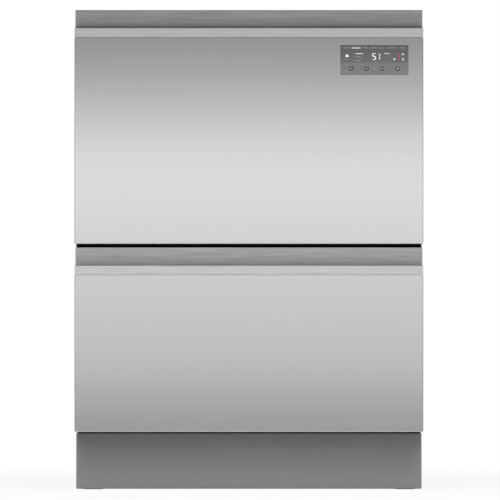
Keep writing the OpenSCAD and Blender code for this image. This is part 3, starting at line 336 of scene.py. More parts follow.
looks = {
    "frontSteel": dict(colour=0.765, metal=1.0, rough=0.19, roughDrift=0.02, drift=0.012,
                       grain=(3, 900, 900), patch=(1.2, 1.2, 40), relief=2e-6),
    "handleSteel": dict(colour=0.82, metal=1.0, rough=0.36, roughDrift=0.05, drift=0.1,
                        grain=(14, 1400, 1400), patch=(14, 350, 350), relief=6e-6),
    # The handle's recess: the handle's own steel made darker, as painted shade for the recess behind the
    # lip; its streaky drift is brush grain.
    "recessSteelPaintedShade": dict(colour=0.69, metal=1.0, rough=0.58, roughDrift=0.06, drift=0.24,
                        grain=(14, 1400, 1400), patch=(14, 300, 300), relief=1e-5),
    "kickSteel": dict(colour=0.282, metal=0.2, rough=0.6, roughDrift=0.03, drift=0.02,
                      grain=(4, 900, 900), patch=(1.5, 8, 30), relief=3e-6),
    "zincSheet": dict(colour=(0.56, 0.57, 0.58), metal=0.85, rough=0.45, roughDrift=0.06, drift=0.06,
                      cells=120, relief=1e-5),
    "railSteel": dict(colour=(0.68, 0.69, 0.70), metal=1.0, rough=0.3, roughDrift=0.08, drift=0.05,
                      grain=(900, 12, 900), relief=5e-6),
    "plateSteel": dict(colour=(0.66, 0.67, 0.68), metal=1.0, rough=0.4, roughDrift=0.06, drift=0.04,
                       grain=(8, 700, 700), relief=4e-6),
    # Black paint on the cross brace, made darker and duller than paint is: painted shade for the gap
    # between the drawers, where the brace shows.
    "blackSteelAndGapShade": dict(colour=(0.004, 0.004, 0.0045), rough=0.7, roughDrift=0.08, drift=0.15,
                       relief=1e-5, ior=1.2),
    "blackRubber": dict(colour=(0.018, 0.018, 0.019), rough=0.68, roughDrift=0.1, drift=0.2,
                        grain=900, relief=2e-5),
    # The lid seal's rubber, darkened from its grey to near black and made less shiny: painted shade for the
    # gap between the drawers, where the seal shows.
    "sealRubberGapShade": dict(colour=(0.006, 0.006, 0.0065), rough=0.75, roughDrift=0.08, drift=0.1,
                       grain=900, relief=2e-5, ior=1.3),
    "darkPlastic": dict(colour=(0.03, 0.03, 0.033), rough=0.45, roughDrift=0.08, drift=0.12,
                        grain=1200, relief=1e-5),
    "footPlastic": dict(colour=(0.05, 0.05, 0.053), rough=0.5, roughDrift=0.08, drift=0.12,
                        grain=1200, relief=1e-5),
    "valvePlastic": dict(colour=(0.76, 0.76, 0.74), rough=0.4, roughDrift=0.05, drift=0.03,
                         grain=900, relief=6e-6),
    "tubPlastic": dict(colour=(0.44, 0.46, 0.48), rough=0.26, roughDrift=0.05, drift=0.03,
                       grain=500, relief=6e-6, coat=0.15),
    "lidPlastic": dict(colour=(0.50, 0.51, 0.53), rough=0.42, roughDrift=0.06, drift=0.04,
                       grain=1000, relief=1e-5),
    "linerPlastic": dict(colour=(0.12, 0.122, 0.126), rough=0.5, roughDrift=0.07, drift=0.06,
                         grain=1000, relief=1.5e-5),
    "washPlastic": dict(colour=(0.18, 0.19, 0.21), rough=0.38, roughDrift=0.06, drift=0.06,
                        grain=1000, relief=1e-5),
    "basketPlastic": dict(colour=(0.14, 0.15, 0.17), rough=0.4, roughDrift=0.07, drift=0.07,
                          grain=1100, relief=1e-5),
    "coatedWire": dict(colour=(0.21, 0.225, 0.245), rough=0.36, roughDrift=0.06, drift=0.07,
                       grain=700, relief=3e-5, coat=0.2, coatRough=0.25),
    "buttonRing": dict(colour=0.085, rough=0.35, drift=0.05),
    "buttonFace": dict(colour=0.172, rough=0.3, drift=0.05),
    "buttonHalo": dict(colour=0.205, rough=0.35, drift=0.05),
}
# Printed and lit marks on the window: colour and glow.
markLooks = {"markBright": ((0.80, 0.81, 0.82), 0.22), "markPale": ((0.44, 0.445, 0.45), 0.08),
             "markDim": ((0.29, 0.295, 0.30), 0.03), "markRed": ((0.25, 0.065, 0.075), 0.04)}
windowLow, windowHigh = cad("control_window")
windowLook = {"displayTop": 0.074, "displayFoot": 0.116, "bandTop": 0.148, "bandFoot": 0.155,
              "split": 0.405, "soft": 0.4, "rough": 0.16, "roughDrift": 0.02, "drift": 0.03, "grain": 300,
              "coat": 0.3}


def markFinish(name, colour, glow):
    mat = finish(name, {"colour": colour, "rough": 0.4, "drift": 0.05, "grain": 2000})
    feed(mat.node_tree, mat.node_tree.nodes["Principled BSDF"],
         {"Emission Color": (*colour, 1), "Emission Strength": glow})
    return mat


# Smoked plastic with a darker display over a paler band: the share of the height from the window's
# foot picks display or band, and each of them shades from its foot to its top.
def smokedWindow():
    w = windowLook
    own = {key: w[key] for key in ("rough", "roughDrift", "drift", "grain", "coat")}
    mat = finish("smokedWindow", {"colour": w["displayTop"], **own})
    tree = mat.node_tree
    shader = tree.nodes["Principled BSDF"]
    where = shaderNode(tree, "TexCoord").outputs["Object"]
    height = shaderNode(tree, "SeparateXYZ", {"Vector": where}).outputs["Z"]
    foot, top, soft = windowLow[2] * mm, windowHigh[2] * mm, w["soft"] * mm
    edge = foot + (top - foot) * w["split"]

    def rise(low, high):
        inputs = {"Value": height, "From Min": low, "From Max": high}
        return shaderNode(tree, "MapRange", inputs).outputs["Result"]

    def blend(share, first, second):
        inputs = {"Factor": share, "A": first, "B": second}
        return shaderNode(tree, "Mix", inputs, data_type="RGBA").outputs["Result"]

    plain = shader.inputs["Base Color"].links[0].from_socket
    display = blend(rise(edge, top), grey(w["displayFoot"]), plain)
    band = blend(rise(foot, edge), grey(w["bandFoot"]), grey(w["bandTop"]))
    feed(tree, shader, {"Base Color": blend(rise(edge - soft, edge + soft), band, display)})
    return mat


mats = {name: finish(name, s) for name, s in looks.items()}
mats.update({name: markFinish(name, *s) for name, s in markLooks.items()})
mats["smokedWindow"] = smokedWindow()
print("finishes:", len(mats))

# The finish of each CAD node; a star stands for upper and for lower.
nodeLooks = {
    "zincSheet": "base_tray left_side_panel right_side_panel rear_panel top_panel",
    "blackSteelAndGapShade": "cross_brace",
    "railSteel": "cabinet_rails *_drawer_rails *_middle_rails chassis_screws",
    "plateSteel": "*_filter_plate",
    "kickSteel": "kickplate",
    "frontSteel": "*_front_skin",
    "handleSteel": "*_handle",
    "blackRubber": "front_gasket",
    "sealRubberGapShade": "*_lid_seal",
    "darkPlastic": "lid_actuators control_module *_wash_motor *_pump_rotor drain_union mains_gland",
    "footPlastic": "foot_front_left foot_front_right foot_rear_left foot_rear_right",
    "valvePlastic": "water_inlet_valve",
    "tubPlastic": "*_tub",
    "lidPlastic": "*_lid *_dispenser_cover",
    "linerPlastic": "*_front_liner",
    "washPlastic": "*_drain_filter *_spray_arm *_dispenser",
    "basketPlastic": "lower_cutlery_basket",
    "coatedWire": "*_rack upper_folding_tines upper_cup_rack_left upper_cup_rack_right",
    "smokedWindow": "control_window",
    "buttonFace": "button_power button_up button_down button_start",
}
dressed = 0
for look, names in nodeLooks.items():
    for name in names.split():
        for node in sorted({name.replace("*", k) for k in kinds}):
            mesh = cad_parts[node].data
            mesh.materials.clear()
            mesh.materials.append(mats[look])
            dressed += 1
print("CAD nodes given a finish:", dressed)

frontSettings = {"fold": 1.3, "hem": 12.0, "skin": 1.0, "foldSteps": 6, "windowGap": 0.3}


# A pan folded from one sheet. Its rim runs round the front face; from each rim point the sheet
# turns back by a quarter circle, goes to the back and turns in by the hem. The front face is a
# grid with a cell left out for each hole.
def foldedPan(low, high, s, openTop, holes=()):
    r, hem = s["fold"], s["hem"]
    x0, y0, z0 = low
    x1, y1, z1 = high
    xi0, xi1, zi0 = x0 + r, x1 - r, z0 + r
    zi1 = z1 if openTop else z1 - r
    turn = quarter(s["foldSteps"])
    xs = sorted({xi0, xi1, *[v for h in holes for v in (h[0], h[2])]})
    zs = sorted({zi0, zi1, *[v for h in holes for v in (h[1], h[3])]})
    rim, out = [], []

    def side(row, normal):
        rim.extend(row)
        out.extend([normal] * len(row))

    def corner(p, start):
        for t in turn[1:-1]:
            rim.append(p)
            out.append((math.cos(start + t), math.sin(start + t)))

    side([(xi0, z) for z in zs[::-1]], (-1, 0))
    corner((xi0, zi0), math.pi)
    side([(x, zi0) for x in xs], (0, -1))
    corner((xi1, zi0), 1.5 * math.pi)
    side([(xi1, z) for z in zs], (1, 0))
    if not openTop:
        corner((xi1, zi1), 0)
        side([(x, zi1) for x in xs[::-1]], (0, 1))
        corner((xi0, zi1), 0.5 * math.pi)
    rim, out = np.array(rim)[:, None], np.array(out)[:, None]
    reach = np.concatenate([r * np.sin(turn), [r, r - hem]])
    grid = np.empty((len(rim), len(reach), 3))
    grid[..., 0] = rim[..., 0] + out[..., 0] * reach
    grid[..., 1] = np.concatenate([y0 + r * (1 - np.cos(turn)), [y1, y1]])
    grid[..., 2] = rim[..., 1] + out[..., 1] * reach
    gx, gz = np.meshgrid(xs, zs, indexing="ij")
    points, quads = sheetOf(np.stack([gx, np.full(gx.shape, y0), gz], axis=-1))
    x, _, z = points[quads].mean(1).T
    keep = np.ones(len(quads), bool)
    for h in holes:
        keep &= ~((x > h[0]) & (x < h[2]) & (z > h[1]) & (z < h[3]))
    return together([sheetOf(grid, closeU=not openTop), (points, quads[keep])])


def frontPanel(k):
    s = frontSettings
    gap = s["windowGap"]
    hole = (windowLow[0] - gap, windowLow[2] - gap, windowHigh[0] + gap, windowHigh[2] + gap)
    shape = foldedPan(*cad(k + "_front_skin"), s, True, [hole] if k == "upper" else [])
    piece(k + "FrontPanel", shape, k + "_drawer", "frontSteel", [k + "_front_skin"],
          weighted=True, solid=s["skin"])


for k in kinds:
    frontPanel(k)

kickSettings = {"fold": 1.6, "hem": 0.0, "foldSteps": 6, "depth": 11.0, "sheet": 1.2, "pegX": 237.25,
                "socketZ": 60.0, "socketR": 7.0, "bore": 3.05, "sunk": 0.2, "floor": 1.2, "mouth": 0.6,
                "edge": 0.5, "flareR": 1.6, "flareHigh": 2.0}


# The kickplate is a folded pan too, with a turned socket for each peg of the base tray.
def kickplate():
    s = kickSettings
    low, high = cad("kickplate")
    pan = foldedPan(low, (high[0], low[1] + s["depth"], high[2]), s, False)
    piece("kickplatePan", pan, "cabinet", "kickSteel", ["kickplate"], weighted=True,
          solid=s["sheet"])
    y0, y1, r, bore = low[1] + s["sheet"] - s["sunk"], high[1], s["socketR"], s["bore"]
    profile = [(hair, y0 + s["floor"]), (bore, y0 + s["floor"]), (bore, y1 - s["mouth"]),
               (bore + s["mouth"], y1), (r - s["edge"], y1), (r, y1 - s["edge"]), (r, y0 + s["flareHigh"]),
               (r + s["flareR"], y0)]
    sockets = [turned(profile, (sign * s["pegX"], 0, s["socketZ"]), axis="y") for sign in signs]
    piece("kickplateSockets", together(sockets), "cabinet", "darkPlastic")


kickplate()
print("fronts and kickplate")

handleSettings = {"wall": 3.0, "lip": 16.0, "above": 31.0, "skin": 1.0, "inset": 1.25, "inside": 0.15,
                  "lean": 0.65, "lipRound": (0.7, 0.35, 0.2, 0.7), "tip": 0.5, "tipLean": 0.4,
                  "tipRound": 0.4, "recessRound": (0, 0.6, 0.6, 0.8, 0.8, 4.0, 4.0, 0), "endInto": 0.3,
                  "endUp": 1.0, "endRound": (0.4, 0.4, 0.8, 0.8)}


# The recess is one outline in depth and height, carried across the front. The lip is a bar with
# rounded edges and ends, laid over it and as wide as the front.
def handle(k):
    s = handleSettings
    (x0, y0, z0), (x1, y1, z1) = cad(k + "_handle")
    w, e, t, n = s["wall"], s["inside"], s["tip"], s["endInto"]
    top = z1 - s["above"]
    foot, back, front, hw = top - s["lip"], y0 + s["skin"] + e, y0 + w, x1 - s["inset"]
    outline = rounded([(back, top - e), (back, z0), (y1, z0), (y1, z1), (y1 - w, z1), (y1 - w, z0 + w),
                       (front - e, z0 + w), (front - e, top - e)], s["recessRound"])
    recess = [bar(outline, -hw, hw)]
    section = rounded([(y0, top), (y0 + s["lean"], foot), (front, foot), (front, top)], s["lipRound"])
    lip = [bar(section, x0 + e, x1 - e)]
    plate = rectangle(front - n, z0 + s["endUp"], y1 - w + n, top, s["endRound"], 4)
    tip = rounded([(y0 + t, top - t), (y0 + t + s["tipLean"], foot + t), (front - t, foot + t),
                   (front - t, top - t)], s["tipRound"], 3)
    for sign in signs:
        recess.append(bar(plate, *sorted((sign * (hw - w), sign * hw))))
        lip.append(bar(tip, *sorted((sign * (x1 - t), sign * x1))))
    # The recess takes the darker copy of the handle steel, which is painted shade.
    piece(k + "HandleRecess", together(recess), k + "_drawer", "recessSteelPaintedShade",
          [k + "_handle"], weighted=True)
    piece(k + "HandleLip", together(lip), k + "_drawer", "handleSteel", weighted=True)


for k in kinds:
    handle(k)
print("handles")

# The marks' layout grid: its step in millimetres, its column in the middle and its row on the floor.
displaySettings = {"step": 1.7173, "middle": 248.9, "floor": 489.8, "lift": 0.03, "thick": 0.06,
                   "bar": 0.12, "gap": 0.12, "stroke": 0.5, "pitch": 0.98, "corner": 0.12, "low": 0.62,
                   "tall": 0.38, "dip": 0.12, "roundShare": 2.2}
# Figures: column, row, width, height and lit bars. Print: first and last column, row and height.
# Shapes: corners as column and row. Spots: column, row, half width, half height and corner radius.
displayLayout = {
    "Bright": {"figures": [(372.75, 59.3, 4.9, 10.2, "afgcd"), (376.85, 59.3, 4.9, 10.2, "bc")],
               "print": [(351.8, 360.9, 47.5, 2.9), (355.6, 363.1, 53.3, 2.4), (384.0, 390.0, 53.2, 2.2)],
               "shapes": [[(345.7, 56.7), (348.4, 56.7), (348.5, 55.7), (347.7, 54.5), (346.5, 54.4),
                           (345.6, 55.6)]]},
    "Dim": {"print": [(342.3, 349.3, 47.5, 2.6), (362.6, 367.9, 47.5, 2.6), (370.1, 377.0, 47.5, 2.6),
                      (379.3, 383.5, 47.5, 2.6), (386.2, 396.9, 47.5, 2.6), (400.0, 405.4, 47.5, 2.6),
                      (355.4, 361.3, 56.6, 1.9), (355.4, 360.6, 60.1, 1.9), (345.2, 348.8, 59.2, 1.2)],
            "spots": [(353.54939, row, 0.6, 0.6, 0.5) for row in (53.3, 56.8, 60.2)]},
    "Pale": {"print": [(345.0, 346.8, 70.8, 2.0), (360.4, 362.1, 71.7, 1.4), (373.6, 375.0, 68.3, 1.6),
                       (401.6, 403.3, 71.7, 1.2)],
             "spots": [(394.4, 59.0, 2.0, 1.7, 1.36), (403.0, 54.1, 1.9, 1.8, 1.44),
                       (403.0, 58.4, 1.5, 1.1, 0.88), (403.0, 59.9, 1.7, 1.1, 0.88)]},
    "Red": {"figures": [(396.9, 59.6, 4.6, 11.0, "abc")],
            "shapes": [[(398.2, 59.6), (399.0, 59.6), (399.5, 53.4), (398.3, 53.4)]],
            "spots": [(387.8, 56.85, 2.57595, 0.429325, 0.3), (385.05, 61.4, 1.116245, 0.34346, 0.3)]},
}


def gridX(column):
    return (column - displaySettings["middle"]) * displaySettings["step"]


def gridZ(row):
    return (displaySettings["floor"] - row) * displaySettings["step"]


def flat(outline):  # a thin plate on the window
    y = windowLow[1] + displaySettings["lift"]
    return bar(outline, y - displaySettings["thick"], y, along="y")


def mark(x0, z0, x1, z1, r):  # a flat plate with its corners rounded
    share = displaySettings["roundShare"]
    return flat(rectangle(x0, z0, x1, z1, min(r, (x1 - x0) / share, (z1 - z0) / share)))


# One figure of a display: bars a to g, each a long hexagon, set on the figure's frame.
def figure(x, z, w, h, lit):
    half = h * displaySettings["bar"] / 2
    gap = 2 * half * displaySettings["gap"]
    across = {"a": h, "g": h / 2, "d": 0.0}
    up = {"f": (0, 1), "b": (w, 1), "e": (0, 0), "c": (w, 0)}
    parts = []
    for name in lit:
        if name in across:
            a, b, c = x + gap, x + w - gap, z + across[name]
            outline = [(a, c), (a + half, c - half), (b - half, c - half), (b, c), (b - half, c + half),
                       (a + half, c + half)]
        else:
            over, top = up[name]
            c, a, b = x + over, z + top * h / 2 + gap, z + (top + 1) * h / 2 - gap
            outline = [(c, a), (c + half, a + half), (c + half, b - half), (c, b), (c - half, b - half),
                       (c - half, a + half)]
        parts.append(flat(outline))
    return parts


# A row of thin upright strokes that stands where a line of print is. It spells nothing: a stroke's
# height and foot follow its number by a fixed rule.
def strokes(first, last, row, high):
    s = displaySettings
    x0, x1, foot, half = gridX(first), gridX(last), gridZ(row) - high / 2, s["stroke"] / 2
    count = int((x1 - x0) / s["pitch"]) + 1
    i = np.arange(count)
    size = high * (s["low"] + s["tall"] * ((i * 7 + count) % 5 == 0) - s["dip"] * (i % 3 == 1))
    return [mark(x - half, foot, x + half, foot + h, s["corner"])
            for x, h in zip(np.linspace(x0 + half, x1 - half, count), size)]


for tone, layout in displayLayout.items():
    marks = []
    for column, row, w, h, lit in layout.get("figures", []):
        marks += figure(gridX(column), gridZ(row), w, h, lit)
    for line in layout.get("print", []):
        marks += strokes(*line)
    for outline in layout.get("shapes", []):
        marks.append(flat([(gridX(column), gridZ(row)) for column, row in outline]))
    for column, row, w, h, r in layout.get("spots", []):
        x, z = gridX(column), gridZ(row)
        marks.append(mark(x - w, z - h, x + w, z + h, r))
    piece("display" + tone, together(marks), "upper_drawer", "mark" + tone)

buttonSettings = {"flange": 1.0, "flangeHigh": 1.2, "ring": 0.6, "dish": 0.25, "edge": 0.35,
                  "crown": (0.02, 0.1, 0.12), "grooveDish": 0.4, "faceDish": 0.8, "glyphDish": 0.55,
                  "faceDeep": 0.6, "haloLow": 4.7, "haloHigh": 5.4, "haloDeep": 0.3, "haloLift": 0.01,
                  "glyphDeep": 0.2, "glyphLift": 0.12, "sides": 48}
# The outlines of each button's sign, about the button's middle.
glyphs = {"power": [rectangle(-0.5, -0.5, 0.5, 0.5, 0.475, 4)],
          "up": [[(-0.9, -0.5), (0.9, -0.5), (0, 0.8)]],
          "down": [[(0, -0.8), (0.9, 0.5), (-0.9, 0.5)]],
          "start": [rectangle(x - 0.28, -0.8, x + 0.28, 0.8) for x in (-0.6, 0.6)]}


# A turned cap: a rounded rim, a shallow groove for the dark ring and a slightly dished middle, with
# a flat ring round it on the window and a raised sign.
def button(stem):
    s = buttonSettings
    node = "button_" + stem
    low, high = cad(node)
    x, z, y0, y1 = (low[0] + high[0]) / 2, (low[2] + high[2]) / 2, low[1], high[1]
    wide = (high[0] - low[0]) / 2
    r, dish, edge, front = wide - s["flange"], s["dish"], s["edge"], windowLow[1]
    groove = (r * s["ring"], y0 + dish * s["grooveDish"])
    rise, slip, shoulder = s["crown"]
    back, face = y1 - s["flangeHigh"], y0 + s["faceDeep"]
    lift, deep = front - s["haloLift"], front + s["haloDeep"]
    profiles = {
        "Rim": [groove, (r - edge, y0 + rise), (r - slip, y0 + shoulder), (r, y0 + edge), (r, back),
                (wide, back), (wide, y1), (hair, y1)],
        "Face": [(hair, y0 + dish), (r / 2, y0 + dish * s["faceDish"]), groove, (groove[0], face),
                 (hair, face)],
        "Halo": [(s["haloLow"], deep), (s["haloLow"], lift), (s["haloHigh"], lift), (s["haloHigh"], deep)]}
    shapes = {part: turned(p, (x, 0, z), s["sides"], "y") for part, p in profiles.items()}
    piece(stem + "ButtonRim", shapes["Rim"], node, "buttonRing", [node])
    piece(stem + "ButtonFace", shapes["Face"], node, "buttonFace")
    piece(stem + "ButtonHalo", shapes["Halo"], "upper_drawer", "buttonHalo")
    y = y0 + dish * s["glyphDish"]
    sign = [bar(np.array(outline) + (x, z), y - s["glyphLift"], y + s["glyphDeep"], along="y")
            for outline in glyphs[stem]]
    piece(stem + "ButtonGlyph", together(sign), node, "markBright")


for stem in glyphs:
    button(stem)
print("display and buttons")

tubSettings = {"wall": 3.0, "corner": 34.0, "flange": 3.0, "rimHigh": 4.0, "rimEdge": 1.2, "fillet": 16.0,
               "sumpR": 62.0, "sumpDeep": 18.0, "sumpEdge": 3.0, "sumpFlare": 2.0, "apron": 60.0,
               "apronIn": 4.0, "spindleR": 6.0, "spindleHigh": 25.0, "spindleFoot": 4.0, "spindleEdge": 0.8,
               "hatchX": 75.0, "hatchZ": 33.0, "hatchDeep": 10.0, "slip": 0.3, "sumpLip": 1.0, "steps": 8,
               "shares": (0.25, 0.5, 0.75, 1.0), "sharp": 50}


# The tub is one stack of loops that goes up the outside, over the rim, down the inside, round a
# fillet, across the floor and into the sump. A loop is a rounded rectangle drawn in by an inset,
# and near the sump it is blended towards a circle. A hatch is left open for the dispenser.
def tub(k):
    s = tubSettings
    (x0, y0, z0), (x1, y1, z1) = cad(k + "_tub")
    w, d, mid = (x1 - x0) / 2 - s["flange"], (y1 - y0) / 2 - s["flange"], (y0 + y1) / 2
    t, f, r, e, g = s["wall"], s["fillet"], s["corner"], s["rimEdge"], s["sumpEdge"]
    under = z0 + s["sumpDeep"]
    floor, sump, rim, sumpR, rod = under + t, z0 + t, z1 - s["rimHigh"], s["sumpR"], s["spindleR"]
    top, apron = floor + s["spindleHigh"], t + f + s["apronIn"]
    hatchX = s["hatchX"] + s["slip"]
    hatchMid = (cad(k + "_dispenser")[0][2] + cad(k + "_dispenser")[1][2]) / 2
    hatch = [hatchMid + sign * (s["hatchZ"] + s["slip"]) for sign in signs]
    bend = [(1 - math.sin(q), 1 - math.cos(q)) for q in quarter(s["steps"])]
    # Each row is an inset, a height, a share of the circle and the circle's radius.
    rows = [(0, z0, 1, hair), (0, z0, 1, sumpR + t), (0, under - s["sumpLip"], 1, sumpR + t),
            (0, under, 1, sumpR + t + s["sumpFlare"]), (f, under, 0, 0)]
    rows += [((f - t) * a, under + (f - t) * b, 0, 0) for a, b in bend]
    rows += [(0, z, 0, 0) for z in (*hatch, rim)] + [(-s["flange"], rim, 0, 0)]
    rows += [(e * b - s["flange"], z1 - e * a, 0, 0) for a, b in bend[::2]]
    rows += [(t - e * a, z1 - e * b, 0, 0) for a, b in bend[::2]]
    rows += [(t, z, 0, 0) for z in hatch[::-1]]
    rows += [(t + f * b, floor + f * a, 0, 0) for a, b in bend] + [(apron, floor, 0, 0)]
    rows += [(apron, floor, share, sumpR + s["apron"] * (1 - share) + g) for share in s["shares"]]
    rows += [(0, floor - g * b, 1, sumpR + g * a) for a, b in bend] + [(0, sump + g, 1, sumpR)]
    rows += [(0, sump + g * a, 1, sumpR - g * b) for a, b in bend[::2]]
    rows += [(0, sump, 1, rod + s["spindleFoot"]), (0, sump + s["spindleFoot"], 1, rod),
             (0, top - s["spindleEdge"], 1, rod), (0, top, 1, rod - s["spindleEdge"]), (0, top, 1, hair)]
    marks = (-hatchX, hatchX)
    base = loopOf(w, d, r, marks=marks)
    angle = np.arctan2(base[:, 1] / d, base[:, 0] / w)
    circle = np.stack([np.cos(angle), np.sin(angle)], axis=-1)
    stack = []
    for inset, z, share, radius in rows:
        ring = loopOf(w - inset, d - inset, max(r - inset, 1), marks=marks) if share < 1 else base
        stack.append(level(ring * (1 - share) + circle * radius * share, z, (0, mid)))
    points, faces = sheetOf(np.stack(stack), closeV=True)
    x, y, z = points[faces].mean(1).T
    hollow = (np.abs(x) < hatchX) & (y < y0 + s["hatchDeep"]) & (z > hatch[0]) & (z < hatch[1])
    piece(k + "TubShell", (points, faces[~hollow]), k + "_drawer", "tubPlastic",
          [k + "_tub"], sharp=s["sharp"])


sealSettings = {"width": 6.0, "corner": 37.0, "neck": 0.4, "neckLow": 5.0, "bulb": 4.0, "foot": 0.25,
                "round": (0, 0, 0.4, 0.8, 1.2, 1.2, 0.8, 0.4)}


# A seal whose rounded section is carried round the edge of the lid: the section's first number is
# an inset of the loop, its second a height.
def lidSeal(k):
    s = sealSettings
    (x0, y0, z0), (x1, y1, z1) = cad(k + "_lid_seal")
    w, d, mid, wide, neck = (x1 - x0) / 2, (y1 - y0) / 2, (y0 + y1) / 2, s["width"], s["neck"]
    low, bulb = z0 + s["neckLow"], z0 + s["bulb"]
    section = rounded([(neck, z1), (wide - neck, z1), (wide - neck, low), (wide, bulb),
                       (wide * (1 - s["foot"]), z0), (wide * s["foot"], z0), (0, bulb), (neck, low)],
                      s["round"], 4)
    grid = np.stack([level(loopOf(w - i, d - i, s["corner"] - i), z, (0, mid)) for i, z in section])
    # The seal's near-black rubber is painted shade for the gap between the drawers.
    piece(k + "LidSealBulb", sheetOf(grid, closeU=True, closeV=True), k + "_lid",
          "sealRubberGapShade", [k + "_lid_seal"])


gasketSettings = {"wide": 3.5, "round": (0.3, 0.3, 1.5, 1.5), "coreIn": 0.4, "core": (0.62, 0.7),
                  "coreRound": 0.05, "coreShort": 1.0}


# The gasket strips: a bulb section carried up both front edges of the cabinet, round a core.
def gasket():
    s = gasketSettings
    (_, y0, z0), (x1, y1, z1) = cad("front_gasket")
    near, far = [y0 + (y1 - y0) * share for share in s["core"]]
    n, short = s["coreIn"], s["coreShort"]
    parts = []
    for sign in signs:
        a, b = sorted((sign * (x1 - s["wide"]), sign * x1))
        core = rectangle(a + n, near, b - n, far, s["coreRound"], 2)
        parts += [bar(rectangle(a, y1, b, y0, s["round"], 6), z0, z1, along="z"),
                  bar(core, z0 + short, z1 - short, along="z")]
    piece("frontGasketBulb", together(parts), "cabinet", "blackRubber", ["front_gasket"])


for k in kinds:
    tub(k)
for k in kinds:
    lidSeal(k)
gasket()
print("tubs and seals")

armSettings = {"half": 210.0, "thick": 10.0, "offset": -0.85, "root": 12.0, "shoulder": 25.0, "tip": 26.0,
               "lead": (12, 15, 17.5, 17.5), "trail": (13, 19, 23, 23), "sections": 25, "tipSteps": 11,
               "sides": 28, "upperPower": 0.8, "lowerPower": 0.7, "tipThick": 0.35, "closed": 0.02,
               "hub": ((6.05, 0.2), (16, 0.2), (17, 1.2), (17, 9.5), (15.5, 12.5), (12, 15.2), (9, 16),
                       (hair, 16), (hair, 11), (6.05, 11)),
               "jet": ((1.4, 8.2), (1.4, 9.95), (2.4, 10.0), (3.2, 9.6), (3.6, 8.4), (3.6, 8.0)),
               "jetAt": (0.28, 0.46, 0.64, 0.8, 0.93), "jetAside": 5.0, "hubSides": 48, "jetSides": 20,
               "sharp": 50}


# Each blade is a row of lens-shaped sections along its length. A section's width follows the
# blade's outline, its upper face is a half ellipse and its lower face a flatter one. The tip
# closes as a quarter circle.
def sprayArm(k):
    s = armSettings
    foot, mid = cad(k + "_spray_arm")[0][2], s["offset"]
    half, neck, thin = s["half"], s["half"] - s["tip"], s["tipThick"]
    x = np.concatenate([np.linspace(s["root"], neck, s["sections"])[:-1],
                        neck + s["tip"] * np.sin(quarter(s["tipSteps"]))])
    lead, trail = [np.interp(x, [s["root"], s["shoulder"], neck, half], s[key])[:, None]
                   for key in ("lead", "trail")]
    close = np.sqrt(np.clip(1 - ((x - neck) / s["tip"]) ** 2, 0, 1))
    close[x <= neck] = 1
    close = np.maximum(close, s["closed"])[:, None]
    wave = np.arange(s["sides"]) * tau / s["sides"]
    c, q = np.cos(wave), np.sin(wave)
    wide = np.sign(c) * np.abs(c) ** s["upperPower"]
    high = np.sign(q) * np.abs(q) ** np.where(q > 0, s["upperPower"], s["lowerPower"]) * s["thick"] / 2
    grid = np.empty((len(x), len(wave), 3))
    grid[..., 0] = x[:, None]
    grid[..., 1] = close * ((lead - trail) / 2 + wide * (lead + trail) / 2)
    grid[..., 2] = s["thick"] / 2 + high * (thin + (1 - thin) * close)
    parts = [solidOf(grid * (sign, sign, 1) + (0, mid, foot)) for sign in signs[::-1]]
    parts.append(turned(s["hub"], (0, mid, foot), s["hubSides"]))
    parts.append(copies(turned(s["jet"], sides=s["jetSides"]),
                        [(sign * share * half, mid - sign * s["jetAside"], foot)
                         for sign in signs[::-1] for share in s["jetAt"]]))
    piece(k + "SprayBlades", together(parts), k + "_spray_arm", "washPlastic",
          [k + "_spray_arm"], sharp=s["sharp"])


for k in kinds:
    sprayArm(k)
print("spray arms")

rackSettings = {
    "r": 1.6, "railR": 2.0, "frameR": 1.8, "bend": 12.0, "corner": 14.0, "wall": 84.0, "up": 42.0,
    "inset": 0.2, "over": 0.4, "across": 10, "along": 13, "legX": 221.667, "legY": 170.606,
    "rowX": 38.0, "rowR": 1.7, "rowEnd": 20.0, "pitch": 38.0, "tineN": 4, "tineR": 1.6, "tineHigh": 74.0,
    "tineFoot": 1.5, "weldR": 0.5, "weldHigh": (1.5, 2.6), "clipY": 171.0, "clipHalf": 4.0, "clipOut": 4.85,
    "rodZ": 8.45, "bridge": (0.3, 3.4, 3.6), "bridgeRound": 1.2, "cupRodX": 266.0, "cupRodZ": 88.85,
    "cupClipY": 145.0, "post": 1.8, "postEnd": 3.0, "postRound": 0.4, "domeTurn": 1.5,
    "leg": ((hair, 0), (3.6, 0), (4.6, 0.8), (5, 2.2), (5, 9), (4, 12), (4, 34), (5, 38), (5, 42),
            (4, 44.5), (hair, 45)),
    "eye": ((5.05, 0.3), (5.35, 0), (8.6, 0), (9, 0.4), (9, 3.2), (8.6, 3.6), (5.35, 3.6), (5.05, 3.3),
            (5.05, 0.3)),
    "cupClip": ((1.9, -4), (4.6, -4), (4.85, -3.6), (4.85, 3.6), (4.6, 4), (1.9, 4), (1.9, -4)),
    "clipMouth": ((1.2, 4.85), (1.86, 0), (1.2, -1.6)), "clipRound": (1, 2.4, 0.6, 0.6, 0.8)}


# A row of plate tines: turned rods with a domed top and a small weld collar at the foot.
def tineRow(x, mid, z, foot, high):
    s = rackSettings
    r, collar = s["tineR"], s["tineR"] + s["weldR"]
    dome = [(r * math.cos(q), high - r * (1 - math.sin(q))) for q in np.linspace(0, s["domeTurn"], 5)]
    tine = turned([(hair, foot), (collar, foot), (collar, foot + s["weldHigh"][0]),
                   (r, foot + s["weldHigh"][1]), *dome, (hair, high)], sides=8)
    return copies(tine, [(x, mid + i * s["pitch"], z) for i in range(-s["tineN"], s["tineN"] + 1)])


